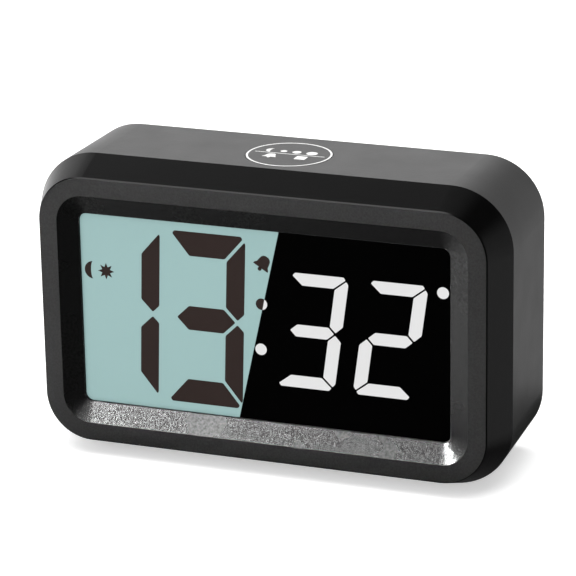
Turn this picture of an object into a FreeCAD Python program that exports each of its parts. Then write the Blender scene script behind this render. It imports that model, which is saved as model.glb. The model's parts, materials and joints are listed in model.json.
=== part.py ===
"""Free-standing digital alarm clock with a large two-tone display.

The frame is X to the right, Y to the back and Z up, in millimetres. The origin is the middle of the
clock's footprint, on the surface that it stands on. Driving sizes stand in the sheet "size". The
sheet "place" works out from them where things lie.
"""
import FreeCAD, Part
import math
import os
import re
import Sketcher

doc = FreeCAD.newDocument("alarm_clock")
Vector = FreeCAD.Vector

SIZES = [
    ("case_width", 130.0, "widest outline, at the joint between bezel and housing"),
    ("case_height", 80.8, "height of that outline"),
    ("case_depth", 42.0, "face to rear wall"),
    ("case_corner", 16.4, "corner radius of that outline"),
    ("case_draft", 0.65, "how far each side of the housing draws in by the rear wall"),
    ("case_wall", 2.2, "wall of bezel and housing at their joint"),
    ("rear_round", 1.2, "rounding of the housing's rear edge"),
    ("band_flare", 3.8, "how far the band widens from the face to the joint"),
    ("face_corner", 12.6, "corner radius of the front outline"),
    ("face_edge", 0.35, "softened front edge of the bezel"),
    ("bezel_depth", 10.3, "face to the joint with the housing"),
    ("ring_width", 5.05, "flat face round the slope"),
    ("ring_corner", 7.55, "inner corner radius of the flat face"),
    ("slope_width", 5.35, "slope from the flat face to the display"),
    ("window_corner", 2.2, "corner radius of the visible display"),
    ("slope_depth", 2.35, "depth of that slope"),
    ("window_land", 0.7, "straight edge of the window behind the slope"),
    ("lip_depth", 1.2, "locating lip of the housing"),
    ("lip_thickness", 0.85, "its thickness"),
    ("static_gap", 0.1, "gap between pieces that do not move"),
    ("running_gap", 0.15, "gap beside a button, knob or door"),
    ("case_screw_x", 57.0, "case screws left and right of the middle"),
    ("case_screw_z", 22.0, "case screws above and below the middle"),
    ("case_boss", 5.4, "screw boss in the bezel"),
    ("case_post", 7.4, "screw post in the housing"),
    ("case_screw_brace", 3.0, "ribs beside the posts start this far behind the joint"),
    ("case_seat", 2.5, "floor of the post that the screw head clamps"),
    ("case_bore", 5.6, "bore down the post for head and driver"),
    ("screw_shank", 2.1, "shank of the case screws"),
    ("screw_head", 4.6, "head of the case screws"),
    ("screw_head_height", 1.7, "height of that head"),
    ("screw_reach", 5.5, "thread engaged in the bezel"),
    ("screw_clear", 0.35, "clearance round a shank where it passes through"),
    ("pilot_gap", 0.05, "gap round a shank in its pilot hole"),
    ("pilot_room", 0.5, "pilot hole beyond a screw's tip"),
    ("small_shank", 1.6, "shank of the board screws"),
    ("small_head", 3.4, "head of the board screws"),
    ("small_head_height", 1.2, "height of that head"),
    ("small_reach", 3.4, "thread engaged by a board screw"),
    ("small_boss", 4.2, "boss for a board screw"),
    ("foot_length", 10.0, "rubber foot"),
    ("foot_width", 6.0, "its other side"),
    ("foot_proud", 0.5, "foot below the case"),
    ("foot_sunk", 1.1, "foot inside its recess"),
    ("foot_x", 43.0, "feet left and right of the middle"),
    ("foot_front", 6.0, "front feet behind the joint"),
    ("foot_rear", 7.0, "rear feet ahead of the rear wall"),
    ("glass_border", 1.7, "glass beyond the window at the sides, top and bottom"),
    ("glass_ledge", 3.0, "contact ledge of the front glass below the rear glass"),
    ("glass_thickness", 1.1, "one sheet of glass"),
    ("film_thickness", 0.2, "polariser or reflector sheet"),
    ("film_border", 0.9, "front polarisers beyond the window"),
    ("split_top", 4.7, "slanted split of the display at the window's top, right of the middle"),
    ("split_bottom", -7.2, "the same split at the window's bottom"),
    ("guide_thickness", 2.0, "light guide"),
    ("guide_notch", 1.3, "pocket for a lamp in the light guide's end"),
    ("lamp_height", 4.0, "side lamp of the light guide"),
    ("lamp_spacing", 26.0, "between the two lamps"),
    ("frame_wall", 1.2, "walls and floor of the display frame"),
    ("strip_thickness", 2.0, "rubber contact strip"),
    ("strip_length", 94.0, "its length"),
    ("board_thickness", 1.2, "main board"),
    ("board_width", 107.0, "main board between the case bosses"),
    ("board_height", 61.0, "main board"),
    ("ear_height", 24.0, "wide part of the main board at its screws"),
    ("ear_margin", 1.0, "board beyond a screw's head"),
    ("board_screw_x", 57.2, "main board screws left and right of the middle"),
    ("board_screw_z", 8.5, "main board screws above and below the middle"),
    ("blob_width", 13.0, "sealed chip on the main board"),
    ("blob_height", 1.6, "its height"),
    ("crystal_width", 2.0, "timing crystal"),
    ("crystal_length", 6.2, "its length"),
    ("snooze_width", 22.8, "snooze button"),
    ("snooze_back", 24.3, "its middle behind the face"),
    ("snooze_proud", 0.02, "its top above the case"),
    ("flange_reach", 1.2, "flange behind the wall beyond a button"),
    ("flange_thickness", 1.0, "thickness of that flange"),
    ("dome_width", 7.0, "base of the rubber switch under a button"),
    ("dome_base", 1.2, "its height"),
    ("dome_height", 2.6, "height with the plunger"),
    ("dome_top", 3.6, "plunger"),
    ("dome_gap", 0.1, "between button and dome"),
    ("side_board_thickness", 1.6, "snooze board and key board"),
    ("hook_width", 6.0, "snap hook that holds one of these boards"),
    ("hook_thickness", 1.3, "its arm"),
    ("hook_nose", 0.8, "its nose over the board"),
    ("hook_seat", 2.0, "its ledge under the board"),
    ("hook_x", 38.0, "key board hooks left and right of the middle"),
    ("snooze_board_width", 37.0, "snooze board"),
    ("snooze_board_depth", 15.0, "its depth"),
    ("button_length", 10.0, "rear button"),
    ("button_height", 5.0, "its height"),
    ("button_pitch", 14.5, "between rear buttons"),
    ("button_up", 21.0, "rear buttons above the middle"),
    ("button_proud", 0.9, "rear button beyond the rear wall"),
    ("button_round", 0.5, "slope of its outer edge"),
    ("button_cut", 1.5, "its corners cut off"),
    ("key_board_width", 102.0, "key board"),
    ("key_board_height", 24.0, "its height"),
    ("slider_x", 43.5, "alarm switch right of the middle"),
    ("slider_travel", 4.0, "throw of the alarm switch"),
    ("slider_slot_height", 5.0, "its slot in the rear wall"),
    ("slider_thumb", 4.4, "its thumb piece"),
    ("slider_proud", 0.8, "thumb piece beyond the rear wall"),
    ("slider_cover", 2.2, "plate behind the slot beyond the slot"),
    ("slider_plate", 0.9, "thickness of that plate"),
    ("switch_height", 1.5, "metal case of the slide switch"),
    ("switch_length", 11.0, "its length"),
    ("switch_depth", 6.0, "its other side"),
    ("lever_width", 2.0, "lever of the slide switch"),
    ("switch_shoe", 0.6, "play of the lever past its ends"),
    ("sounder_width", 13.0, "piezo sounder"),
    ("sounder_height", 3.0, "its height"),
    ("sounder_x", -43.5, "its place beside the middle"),
    ("grille_width", 12.4, "round field of sound slots"),
    ("grille_pitch", 2.3, "between sound slots"),
    ("grille_slot", 1.1, "sound slot"),
    ("cell_width", 10.5, "AAA cell"),
    ("cell_length", 44.5, "its length with the nub"),
    ("cell_nub", 3.8, "its positive nub"),
    ("cell_nub_height", 0.8, "height of the nub"),
    ("cell_gap", 0.4, "between cells"),
    ("bay_end", 3.6, "room for the contacts at each end"),
    ("bay_wall", 1.3, "wall of the battery bay"),
    ("bay_front_gap", 0.4, "cells to the floor of the bay"),
    ("door_thickness", 1.8, "battery door"),
    ("door_width", 54.4, "its width"),
    ("door_height", 37.4, "its height"),
    ("door_up", 8.2, "lower edge of the door above the underside"),
    ("door_corner", 1.5, "its corner radius"),
    ("door_rest", 1.1, "bay walls inside the door's outline"),
    ("grip_up", 23.2, "lowest grip line above the door's lower edge"),
    ("grip_pitch", 2.0, "between the grip lines of the door"),
    ("grip_line", 0.8, "height of a grip line"),
    ("scoop_width", 15.4, "round finger scoop above the door"),
    ("scoop_depth", 0.9, "its depth"),
    ("tab_x", 17.0, "door tabs left and right of the middle"),
    ("tab_width", 6.0, "door tab"),
    ("tab_thickness", 1.1, "its thickness"),
    ("tab_drop", 1.8, "tab below the door"),
    ("tab_root", 1.2, "its root on the door"),
    ("latch_width", 11.0, "spring latch of the door"),
    ("latch_reach", 4.6, "its bend behind the door"),
    ("latch_thickness", 0.8, "its thickness"),
    ("latch_hook", 0.8, "its hook"),
    ("contact_thickness", 0.4, "battery contact"),
    ("contact_depth", 8.0, "its width across the cell"),
    ("cable_thickness", 0.3, "flat cable"),
    ("cable_bend", 1.2, "its bends"),
    ("cable_offset", 2.0, "its ends above and below the middle of the key board"),
    ("cable_sag", 4.6, "its fall from snooze board to main board"),
    ("key_cable_width", 12.0, "flat cable from main board to key board"),
    ("snooze_cable_width", 5.0, "flat cable from main board to snooze board"),
    ("socket_depth", 2.4, "cable socket"),
    ("socket_height", 4.0, "its height"),
    ("socket_wall", 1.0, "its walls beside the cable"),
]

PLACES = [
    ("face_y", "-(case_depth + button_proud) / 2", "flat face of the bezel"),
    ("face_width", "case_width - 2 * band_flare", "front outline of the bezel"),
    ("face_height", "case_height - 2 * band_flare", "its height"),
    ("window_width", "face_width - 2 * ring_width - 2 * slope_width", "visible display"),
    ("window_height", "face_height - 2 * ring_width - 2 * slope_width", "its height"),
    ("joint_y", "face_y + bezel_depth", "joint of bezel and housing"),
    ("rear_y", "face_y + case_depth", "rear wall, outside"),
    ("wall_y", "rear_y - case_wall", "rear wall, inside"),
    ("middle_z", "foot_proud + case_height / 2", "middle of the face"),
    ("shell_depth", "rear_y - joint_y", "housing from joint to rear"),
    ("glass_y", "face_y + slope_depth + window_land", "back of the window's lip"),
    ("front_glass_y", "glass_y + film_thickness", "front glass"),
    ("rear_glass_y", "front_glass_y + glass_thickness", "rear glass"),
    ("rear_film_y", "rear_glass_y + glass_thickness", "rear polariser"),
    ("guide_y", "rear_film_y + film_thickness", "light guide"),
    ("reflector_y", "guide_y + guide_thickness", "reflector sheet"),
    ("tray_y", "reflector_y + film_thickness", "floor of the display frame, inside"),
    ("board_y", "tray_y + frame_wall", "main board, front side"),
    ("board_back_y", "board_y + board_thickness", "main board, rear side"),
    ("glass_width", "window_width + 2 * glass_border", "both sheets of glass"),
    ("glass_height", "window_height + 2 * glass_border", "rear glass"),
    ("tray_width", "glass_width + 2 * static_gap", "inside of the display frame"),
    ("lip_flare", "band_flare * (glass_y - face_y) / bezel_depth", "flare of the band at the window's lip"),
    ("snooze_y", "face_y + snooze_back", "middle of the snooze button"),
    ("slope", "case_draft / shell_depth", "fall of the top per length"),
    ("top_z", "middle_z + case_height / 2", "top of the case at the joint"),
    ("snooze_top_z", "top_z - slope * (snooze_y - joint_y) + snooze_proud", "middle of the button's top"),
    ("snooze_hole", "snooze_width + 2 * running_gap", "its hole in the case"),
    ("snooze_flange", "snooze_width + 2 * flange_reach", "its flange"),
    ("snooze_flange_z", "top_z - case_wall - static_gap / 2", "top of that flange"),
    ("snooze_foot_z", "snooze_flange_z - flange_thickness", "foot of the snooze button"),
    ("snooze_board_z", "snooze_foot_z - dome_gap - dome_height", "snooze board, upper side"),
    ("button_z", "middle_z + button_up", "middle of the rear buttons"),
    ("button_foot_y", "wall_y - static_gap / 2 - flange_thickness", "foot of a rear button"),
    ("key_board_y", "button_foot_y - dome_gap - dome_height", "key board, rear side"),
    ("cell_pitch", "cell_width + cell_gap", "between cells"),
    ("cell_y", "rear_y - door_thickness - static_gap - cell_gap - cell_width / 2", "axis of the cells"),
    ("bay_floor_y", "cell_y - cell_width / 2 - bay_front_gap", "floor of the battery bay"),
    ("bay_width", "cell_length + 2 * bay_end", "inside of the battery bay"),
    ("door_z", "foot_proud + door_up", "hinge edge of the battery door"),
    ("bay_low_z", "door_z + door_rest", "lower side of the bay"),
    ("bay_high_z", "door_z + door_height - door_rest", "upper side of the bay"),
    ("cell_low_z", "bay_low_z + cell_gap / 2 + cell_width / 2", "axis of the lowest cell"),
    ("tab_in", "case_wall + 2 * static_gap", "tabs behind the rear wall's outside"),
    ("cable_low_z", "button_z - cable_offset", "flat cable at the main board"),
    ("cable_high_z", "button_z + cable_offset", "flat cable at the key board"),
]

size = doc.addObject("Spreadsheet::Sheet", "size")
for row, (alias, amount, meaning) in enumerate(SIZES, 1):
    size.set(f"A{row}", meaning)
    size.set(f"B{row}", str(amount))
    size.setAlias(f"B{row}", alias)
doc.recompute()

WORDS = {alias: "size." + alias for alias, amount, meaning in SIZES}


def formula(text):
    """The text of a formula with each plain word led by the name of its sheet."""
    return re.sub(r"[a-z]\w*", lambda found: WORDS.get(found.group(0), found.group(0)), str(text))


place = doc.addObject("Spreadsheet::Sheet", "place")
for row, (alias, text, meaning) in enumerate(PLACES, 1):
    place.set(f"A{row}", meaning)
    place.set(f"B{row}", "=" + formula(text))
    place.setAlias(f"B{row}", alias)
    WORDS[alias] = "place." + alias
doc.recompute()
work = doc.addObject("Spreadsheet::Sheet", "work")


def number(text):
    """What a formula comes to now, read from a cell of the work sheet."""
    work.set("A1", "=" + formula(text))
    work.recompute()
    return float(work.get("A1"))


PLANES = {"front": "XZ_Plane", "top": "XY_Plane", "side": "YZ_Plane"}
FACING = {"XZ_Plane": "front", "XY_Plane": "up", "YZ_Plane": "right"}
pieces = []


def plane_of(body, view):
    """One of the body's own origin planes, named by the view that looks at it."""
    return next(item for item in body.Origin.OriginFeatures if item.Role == PLANES[view])


def piece(label, x="0", y="0", z="0", group=False):
    """A new body for one piece, with its base point placed by formulas."""
    body = doc.addObject("PartDesign::Body", label)
    body.Label = label
    body.AllowCompound = group
    for axis, text in (("x", x), ("y", y), ("z", z)):
        body.setExpression("Placement.Base." + axis, formula(text))
    pieces.append(body)
    return body


def sketch_on(body, view, level="0", across="0", up="0"):
    """A sketch seen in one view, at a level: Y in front view, Z in top view, X in side view."""
    sketch = body.newObject("Sketcher::SketchObject", body.Label + "_sketch")
    sketch.AttachmentSupport = [(plane_of(body, view), "")]
    sketch.MapMode = "FlatFace"
    sign = "-" if view == "front" else ""
    sketch.setExpression("AttachmentOffset.Base.x", formula(across))
    sketch.setExpression("AttachmentOffset.Base.y", formula(up))
    sketch.setExpression("AttachmentOffset.Base.z", formula(f"{sign}({level})"))
    return sketch


def bind(sketch, kind, where, text):
    """A driving constraint whose value is a formula."""
    index = sketch.addConstraint(Sketcher.Constraint(kind, *where, number(text)))
    name = f"{kind}_{index}"
    sketch.renameConstraint(index, name)
    sketch.setExpression("Constraints." + name, formula(text))


def circle(sketch, across, up, width):
    """A circle by its middle and its width."""
    centre = Vector(number(across), number(up), 0)
    curve = sketch.addGeometry(Part.Circle(centre, Vector(0, 0, 1), number(width) / 2))
    bind(sketch, "DistanceX", (-1, 1, curve, 3), across)
    bind(sketch, "DistanceY", (-1, 1, curve, 3), up)
    bind(sketch, "Diameter", (curve,), width)


def outline(sketch, points):
    """A closed outline through points given by pairs of formulas."""
    spots = [Vector(number(across), number(up), 0) for across, up in points]
    lines = [sketch.addGeometry(Part.LineSegment(spot, spots[(index + 1) % len(spots)]))
             for index, spot in enumerate(spots)]
    for index, line in enumerate(lines):
        following = lines[(index + 1) % len(lines)]
        sketch.addConstraint(Sketcher.Constraint("Coincident", line, 2, following, 1))
    for line, (across, up) in zip(lines, points):
        bind(sketch, "DistanceX", (-1, 1, line, 1), across)
        bind(sketch, "DistanceY", (-1, 1, line, 1), up)


def rounded(sketch, left, right, low, high, corner):
    """An upright rectangle by its four sides, with equal round corners."""
    x0, x1, y0, y1, r = (number(text) for text in (left, right, low, high, corner))
    ends = [((x0 + r, y0), (x1 - r, y0)), ((x1, y0 + r), (x1, y1 - r)),
            ((x1 - r, y1), (x0 + r, y1)), ((x0, y1 - r), (x0, y0 + r))]
    lines = [sketch.addGeometry(Part.LineSegment(Vector(*start, 0), Vector(*end, 0)))
             for start, end in ends]
    turns = [((x1 - r, y0 + r), -0.5), ((x1 - r, y1 - r), 0.0), ((x0 + r, y1 - r), 0.5),
             ((x0 + r, y0 + r), 1.0)]

    arcs = []
    for middle, start in turns:
        ring = Part.Circle(Vector(*middle, 0), Vector(0, 0, 1), r)
        arc = Part.ArcOfCircle(ring, start * math.pi, (start + 0.5) * math.pi)
        arcs.append(sketch.addGeometry(arc))
    for index, arc in enumerate(arcs):
        following = lines[(index + 1) % 4]
        sketch.addConstraint(Sketcher.Constraint("Tangent", lines[index], 2, arc, 1))
        sketch.addConstraint(Sketcher.Constraint("Tangent", arc, 2, following, 1))
        if index:
            sketch.addConstraint(Sketcher.Constraint("Equal", arcs[0], arc))
    for kind, line in (("Horizontal", lines[0]), ("Vertical", lines[1])):
        sketch.addConstraint(Sketcher.Constraint(kind, line))
    for kind, line in (("Horizontal", lines[2]), ("Vertical", lines[3])):
        sketch.addConstraint(Sketcher.Constraint(kind, line))
    bind(sketch, "DistanceY", (-1, 1, lines[0], 1), low)
    bind(sketch, "DistanceX", (-1, 1, lines[1], 1), right)
    bind(sketch, "DistanceY", (-1, 1, lines[2], 1), high)
    bind(sketch, "DistanceX", (-1, 1, lines[3], 1), left)
    bind(sketch, "Radius", (arcs[0],), corner)


def box_shape(sketch, left, right, low, high):
    """An upright rectangle by its four sides."""
    outline(sketch, [(left, low), (right, low), (right, high), (left, high)])


def centred(sketch, width, height, corner):
    """A rectangle with round corners about the sketch's own middle."""
    rounded(sketch, f"-({width}) / 2", f"({width}) / 2", f"-({height}) / 2", f"({height}) / 2", corner)


def cut_cornered(sketch, width, height, cut):
    """A rectangle about the sketch's own middle with its corners cut off."""
    across, up = (f"({width}) / 2", f"({height}) / 2")
    ring = [(across, f"({up} - {cut})"), (f"({across} - {cut})", up)]
    points = ring + [(f"-{x}", z) for x, z in reversed(ring)]
    points += [(f"-{x}", f"-{z}") for x, z in ring] + [(x, f"-{z}") for x, z in reversed(ring)]
    outline(sketch, points)


def grown(body, feature, before, adds):
    """Recompute and make sure that the feature added or removed material."""
    doc.recompute()
    change = feature.Shape.Volume - before
    if (change > 1e-6) != adds or abs(change) < 1e-6 or not feature.Shape.isValid():
        raise RuntimeError(f"{body.Label}: {feature.Label} changed the volume by {change:.4f}")
    return feature


def volume_of(body):
    """The body's volume so far."""
    return body.Shape.Volume if body.Tip and not body.Shape.isNull() else 0.0


def feature_of(body, kind):
    """A new feature of the body, with its faces kept as they are cut."""
    feature = body.newObject("PartDesign::" + kind, f"{body.Label}_{kind.lower()}")
    feature.Refine = False
    return feature


def pad(body, sketch, length, towards):
    """Material pushed out of a sketch to one side."""
    before = volume_of(body)
    feature = feature_of(body, "Pad")
    feature.Profile = sketch
    feature.setExpression("Length", formula(length))
    feature.Reversed = towards != FACING[sketch.AttachmentSupport[0][0].Role]
    return grown(body, feature, before, True)


def pocket(body, sketch, depth, towards):
    """Material cut away from a sketch to one side."""
    before = volume_of(body)
    feature = feature_of(body, "Pocket")
    feature.Profile = sketch
    feature.setExpression("Length", formula(depth))
    feature.Reversed = towards == FACING[sketch.AttachmentSupport[0][0].Role]
    return grown(body, feature, before, False)


def loft(body, first, last, adds=True):
    """A ruled transition between two outlines, added or cut away."""
    before = volume_of(body)
    feature = feature_of(body, "AdditiveLoft" if adds else "SubtractiveLoft")
    feature.Profile = first
    feature.Sections = [last]
    feature.Ruled = True
    return grown(body, feature, before, adds)


def soft_edge(body, width, height, corner, level, radius, towards, steps):
    """A softened edge on top of an outline, in ruled steps that each draw it in."""
    sign = "+" if towards == "rear" else "-"
    spots = [(math.sin(math.pi / 2 * step / steps), 1 - math.cos(math.pi / 2 * step / steps))
             for step in range(steps + 1)]
    for (near, near_in), (far, far_in) in zip(spots, spots[1:]):
        ends = []
        for along, inset in ((near, near_in), (far, far_in)):
            shape = sketch_on(body, "front", f"{level} {sign} {radius} * {along:.4f}")
            less = f"{radius} * {inset:.4f}"
            centred(shape, f"{width} - 2 * {less}", f"{height} - 2 * {less}", f"{corner} - {less}")
            ends.append(shape)
        loft(body, *ends)


def turned(body, sketch, axis="V_Axis"):
    """A half section turned once round an axis of its sketch."""
    before = volume_of(body)
    feature = feature_of(body, "Revolution")
    feature.Profile = sketch
    feature.ReferenceAxis = (sketch, [axis])
    feature.Angle = 360.0
    return grown(body, feature, before, True)


def mirrored(body, features, view):
    """Features repeated on the other side of one of the body's planes."""
    before = volume_of(body)
    feature = feature_of(body, "Mirrored")
    feature.Originals = features
    feature.MirrorPlane = (plane_of(body, view), [""])
    body.Tip = feature
    adds = "Pocket" not in features[0].TypeId
    return grown(body, feature, before, adds)


def in_line(body, features, sketch, axis, step, count):
    """Features repeated in a line along an axis of a sketch."""
    before = volume_of(body)
    feature = feature_of(body, "LinearPattern")
    feature.Originals = features
    feature.Direction = (sketch, [axis])
    feature.Mode = "Spacing"
    feature.setExpression("Offset", formula(step))
    feature.Occurrences = count
    body.Tip = feature
    adds = "Pocket" not in features[0].TypeId
    return grown(body, feature, before, adds)


CORNERS = [(1, 1), (1, -1), (-1, 1), (-1, -1)]
CASE_SCREWS = [(f"{side} * case_screw_x", f"{level} * case_screw_z") for side, level in CORNERS]
BOARD_SCREWS = [(f"{side} * board_screw_x", f"{side} * board_screw_z") for side in (1, -1)]


def circles(sketch, spots, width):
    """Equal circles about points given by pairs of formulas."""
    for across, up in spots:
        circle(sketch, across, up, width)


def squares(sketch, spots, width):
    """Equal upright squares about points given by pairs of formulas."""
    for across, up in spots:
        left, right = (f"{across} {sign} {width} / 2" for sign in "-+")
        low, high = (f"{up} {sign} {width} / 2" for sign in "-+")
        box_shape(sketch, left, right, low, high)


# Bezel: flat textured face, glossy flared band and a slope down to the display

def front_bezel():
    body = piece("front_bezel", z="middle_z")
    face = sketch_on(body, "front", "face_y + face_edge")
    centred(face, "face_width", "face_height", "face_corner")
    joint = sketch_on(body, "front", "joint_y")
    centred(joint, "case_width", "case_height", "case_corner")
    loft(body, face, joint)
    soft_edge(body, "face_width", "face_height", "face_corner", "face_y + face_edge", "face_edge", "front", 1)

    hollow_rear = sketch_on(body, "front", "joint_y")
    centred(hollow_rear, "case_width - 2 * case_wall", "case_height - 2 * case_wall",
            "case_corner - case_wall")
    hollow_front = sketch_on(body, "front", "glass_y")
    centred(hollow_front, "face_width + 2 * lip_flare - 2 * case_wall",
            "face_height + 2 * lip_flare - 2 * case_wall", "face_corner + lip_flare - case_wall")
    loft(body, hollow_rear, hollow_front, adds=False)

    slope_front = sketch_on(body, "front", "face_y")
    centred(slope_front, "face_width - 2 * ring_width", "face_height - 2 * ring_width", "ring_corner")
    slope_back = sketch_on(body, "front", "face_y + slope_depth")
    centred(slope_back, "window_width", "window_height", "window_corner")
    loft(body, slope_back, slope_front, adds=False)
    window = sketch_on(body, "front", "face_y + slope_depth")
    centred(window, "window_width", "window_height", "window_corner")
    pocket(body, window, "window_land", "rear")

    rebate = sketch_on(body, "front", "joint_y")
    inset = "(case_wall - lip_thickness - static_gap)"
    centred(rebate, f"case_width - 2 * {inset}", f"case_height - 2 * {inset}", f"case_corner - {inset}")
    pocket(body, rebate, "lip_depth + static_gap", "front")

    bosses = sketch_on(body, "front", "joint_y")
    squares(bosses, CASE_SCREWS, "case_boss")
    pad(body, bosses, "joint_y - glass_y", "front")
    pilots = sketch_on(body, "front", "joint_y")
    circles(pilots, CASE_SCREWS, "screw_shank + 2 * pilot_gap")
    pocket(body, pilots, "screw_reach + pilot_room", "front")

    stands = sketch_on(body, "front", "board_y")
    squares(stands, BOARD_SCREWS, "small_boss")
    pad(body, stands, "board_y - glass_y", "front")
    small_pilots = sketch_on(body, "front", "board_y")
    circles(small_pilots, BOARD_SCREWS, "small_shank + 2 * pilot_gap")
    pocket(body, small_pilots, "small_reach + pilot_room", "front")


# Housing: one drafted shell with posts, battery bay, button holes and sound holes

def rear_housing():
    body = piece("rear_housing", z="middle_z")
    joint = sketch_on(body, "front", "joint_y")
    centred(joint, "case_width", "case_height", "case_corner")
    rear = sketch_on(body, "front", "rear_y - rear_round")
    rear_size = ("case_width - 2 * case_draft", "case_height - 2 * case_draft", "case_corner - case_draft")
    centred(rear, *rear_size)
    loft(body, joint, rear)
    soft_edge(body, *rear_size, "rear_y - rear_round", "rear_round", "rear", 2)

    hollow = sketch_on(body, "front", "joint_y")
    centred(hollow, "case_width - 2 * case_wall", "case_height - 2 * case_wall", "case_corner - case_wall")
    pocket(body, hollow, "shell_depth - case_wall", "rear")

    lip = sketch_on(body, "front", "joint_y")
    inset = "(case_wall - lip_thickness)"
    centred(lip, f"case_width - 2 * {inset}", f"case_height - 2 * {inset}", f"case_corner - {inset}")
    centred(lip, "case_width - 2 * case_wall", "case_height - 2 * case_wall", "case_corner - case_wall")
    pad(body, lip, "lip_depth", "front")

    posts = sketch_on(body, "front", "joint_y")
    squares(posts, CASE_SCREWS, "case_post")
    pad(body, posts, "shell_depth - case_wall / 2", "rear")
    rib = sketch_on(body, "front", "joint_y + case_screw_brace")
    for side, level in CORNERS:
        near, far = f"{side} * case_screw_x", f"{side} * (case_width / 2 - case_wall / 2 - case_draft)"
        left, right = (near, far) if side > 0 else (far, near)
        low, high = (f"{level} * case_screw_z {sign} case_wall / 4" for sign in "-+")
        box_shape(rib, left, right, low, high)
    pad(body, rib, "shell_depth - case_screw_brace - case_wall / 2", "rear")
    bores = sketch_on(body, "front", "rear_y")
    circles(bores, CASE_SCREWS, "case_bore")
    pocket(body, bores, "shell_depth - case_seat", "front")
    passes = sketch_on(body, "front", "joint_y")
    circles(passes, CASE_SCREWS, "screw_shank + 2 * screw_clear")
    pocket(body, passes, "case_seat", "rear")

    battery_bay(body)
    button_openings(body)
    snooze_opening(body)

    recesses = sketch_on(body, "top", "-case_height / 2 - foot_proud")
    for level in ("(joint_y + foot_front)", "(rear_y - foot_rear)"):
        for side in (1, -1):
            left, right = (f"{side} * foot_x {sign} (foot_length / 2 + static_gap)" for sign in "-+")
            box_shape(recesses, left, right, f"{level} - foot_width / 2 - static_gap",
                      f"{level} + foot_width / 2 + static_gap")
    pocket(body, recesses, "foot_proud + foot_sunk", "up")


def battery_bay(body):
    """The bay with its door recess, tab slots and latch notch, open to the rear."""
    low, high = "(bay_low_z - middle_z)", "(bay_high_z - middle_z)"
    block = sketch_on(body, "front", "bay_floor_y - bay_wall")
    box_shape(block, "-bay_width / 2 - bay_wall", "bay_width / 2 + bay_wall", f"{low} - bay_wall",
              f"{high} + bay_wall")
    pad(body, block, "wall_y - bay_floor_y + bay_wall + case_wall / 2", "rear")
    room = sketch_on(body, "front", "rear_y")
    box_shape(room, "-bay_width / 2", "bay_width / 2", low, high)
    pocket(body, room, "rear_y - bay_floor_y", "front")
    recess = sketch_on(body, "front", "rear_y")
    rounded(recess, "-door_width / 2 - running_gap", "door_width / 2 + running_gap",
            "door_z - middle_z - running_gap", "door_z + door_height - middle_z + running_gap",
            "door_corner + running_gap")
    pocket(body, recess, "door_thickness + static_gap", "front")

    slots = sketch_on(body, "front", "rear_y - door_thickness")
    for side in (1, -1):
        left, right = (f"{side} * tab_x {sign} (tab_width / 2 + running_gap)" for sign in "-+")
        box_shape(slots, left, right, f"{low} - bay_wall - static_gap", f"{low} + static_gap")
    pocket(body, slots, "tab_in - door_thickness + tab_thickness + tab_drop + 2 * running_gap", "front")

    notch = sketch_on(body, "front", "wall_y")
    left, right = (f"{sign} (latch_width / 2 + running_gap)" for sign in "-+")
    box_shape(notch, left, right, f"{high} - static_gap", f"{high} + bay_wall + static_gap")
    pocket(body, notch, "latch_reach + running_gap", "front")
    mouth = sketch_on(body, "front", "rear_y")
    box_shape(mouth, left, right, f"{high} - static_gap", "door_z + door_height - middle_z + running_gap")
    pocket(body, mouth, "case_wall + static_gap", "front")
    scoop = sketch_on(body, "front", "rear_y")
    circle(scoop, "0", "door_z + door_height - middle_z - latch_width / 4", "scoop_width")
    pocket(body, scoop, "scoop_depth", "front")


def hook_shape(side, edge, root, seat, far):
    """A ledge under a board's edge and a snap hook over its far side, as (across, depth) pairs."""
    inner, outer = (f"{edge} + static_gap", f"{edge} + static_gap + hook_thickness")
    nose, tip = (f"{far} - static_gap", f"{far} - static_gap - hook_thickness")
    points = [(f"{edge} - hook_seat", root), (f"{edge} - hook_seat", seat), (inner, seat), (inner, nose),
              (f"{edge} - hook_nose", nose), (inner, tip), (outer, tip), (outer, root)]
    return [(f"{side} * ({across})", depth) for across, depth in points]


def button_openings(body):
    """Rear button holes, the alarm switch slot, sound slots and the hooks for the key board."""
    row = sketch_on(body, "front", "rear_y", across="-2 * button_pitch", up="button_up")
    cut_cornered(row, "button_length + 2 * running_gap", "button_height + 2 * running_gap",
                 "(button_cut + running_gap / 2)")
    hole = pocket(body, row, "case_wall", "front")
    in_line(body, [hole], row, "H_Axis", "button_pitch", 5)

    slot = sketch_on(body, "front", "rear_y", across="slider_x", up="button_up")
    reach = "((slider_thumb + slider_travel) / 2 + running_gap)"
    box_shape(slot, f"-{reach}", reach, "-slider_slot_height / 2", "slider_slot_height / 2")
    pocket(body, slot, "case_wall", "front")

    grille = sketch_on(body, "front", "rear_y", across="sounder_x", up="button_up")
    for step in range(-2, 3):
        level = f"{step} * grille_pitch"
        half = f"sqrt((grille_width / 2)^2 - ({level})^2)"
        box_shape(grille, f"-{half}", half, f"{level} - grille_slot / 2", f"{level} + grille_slot / 2")
    pocket(body, grille, "case_wall", "front")

    hooks = sketch_on(body, "side", "hook_x - hook_width / 2", up="button_up")
    for side in (1, -1):
        outline(hooks, [(depth, edge) for edge, depth in hook_shape(
            side, "key_board_height / 2", "wall_y + case_wall / 2", "key_board_y",
            "key_board_y - side_board_thickness")])
    hook_pair = pad(body, hooks, "hook_width", "right")
    mirrored(body, [hook_pair], "side")


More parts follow.
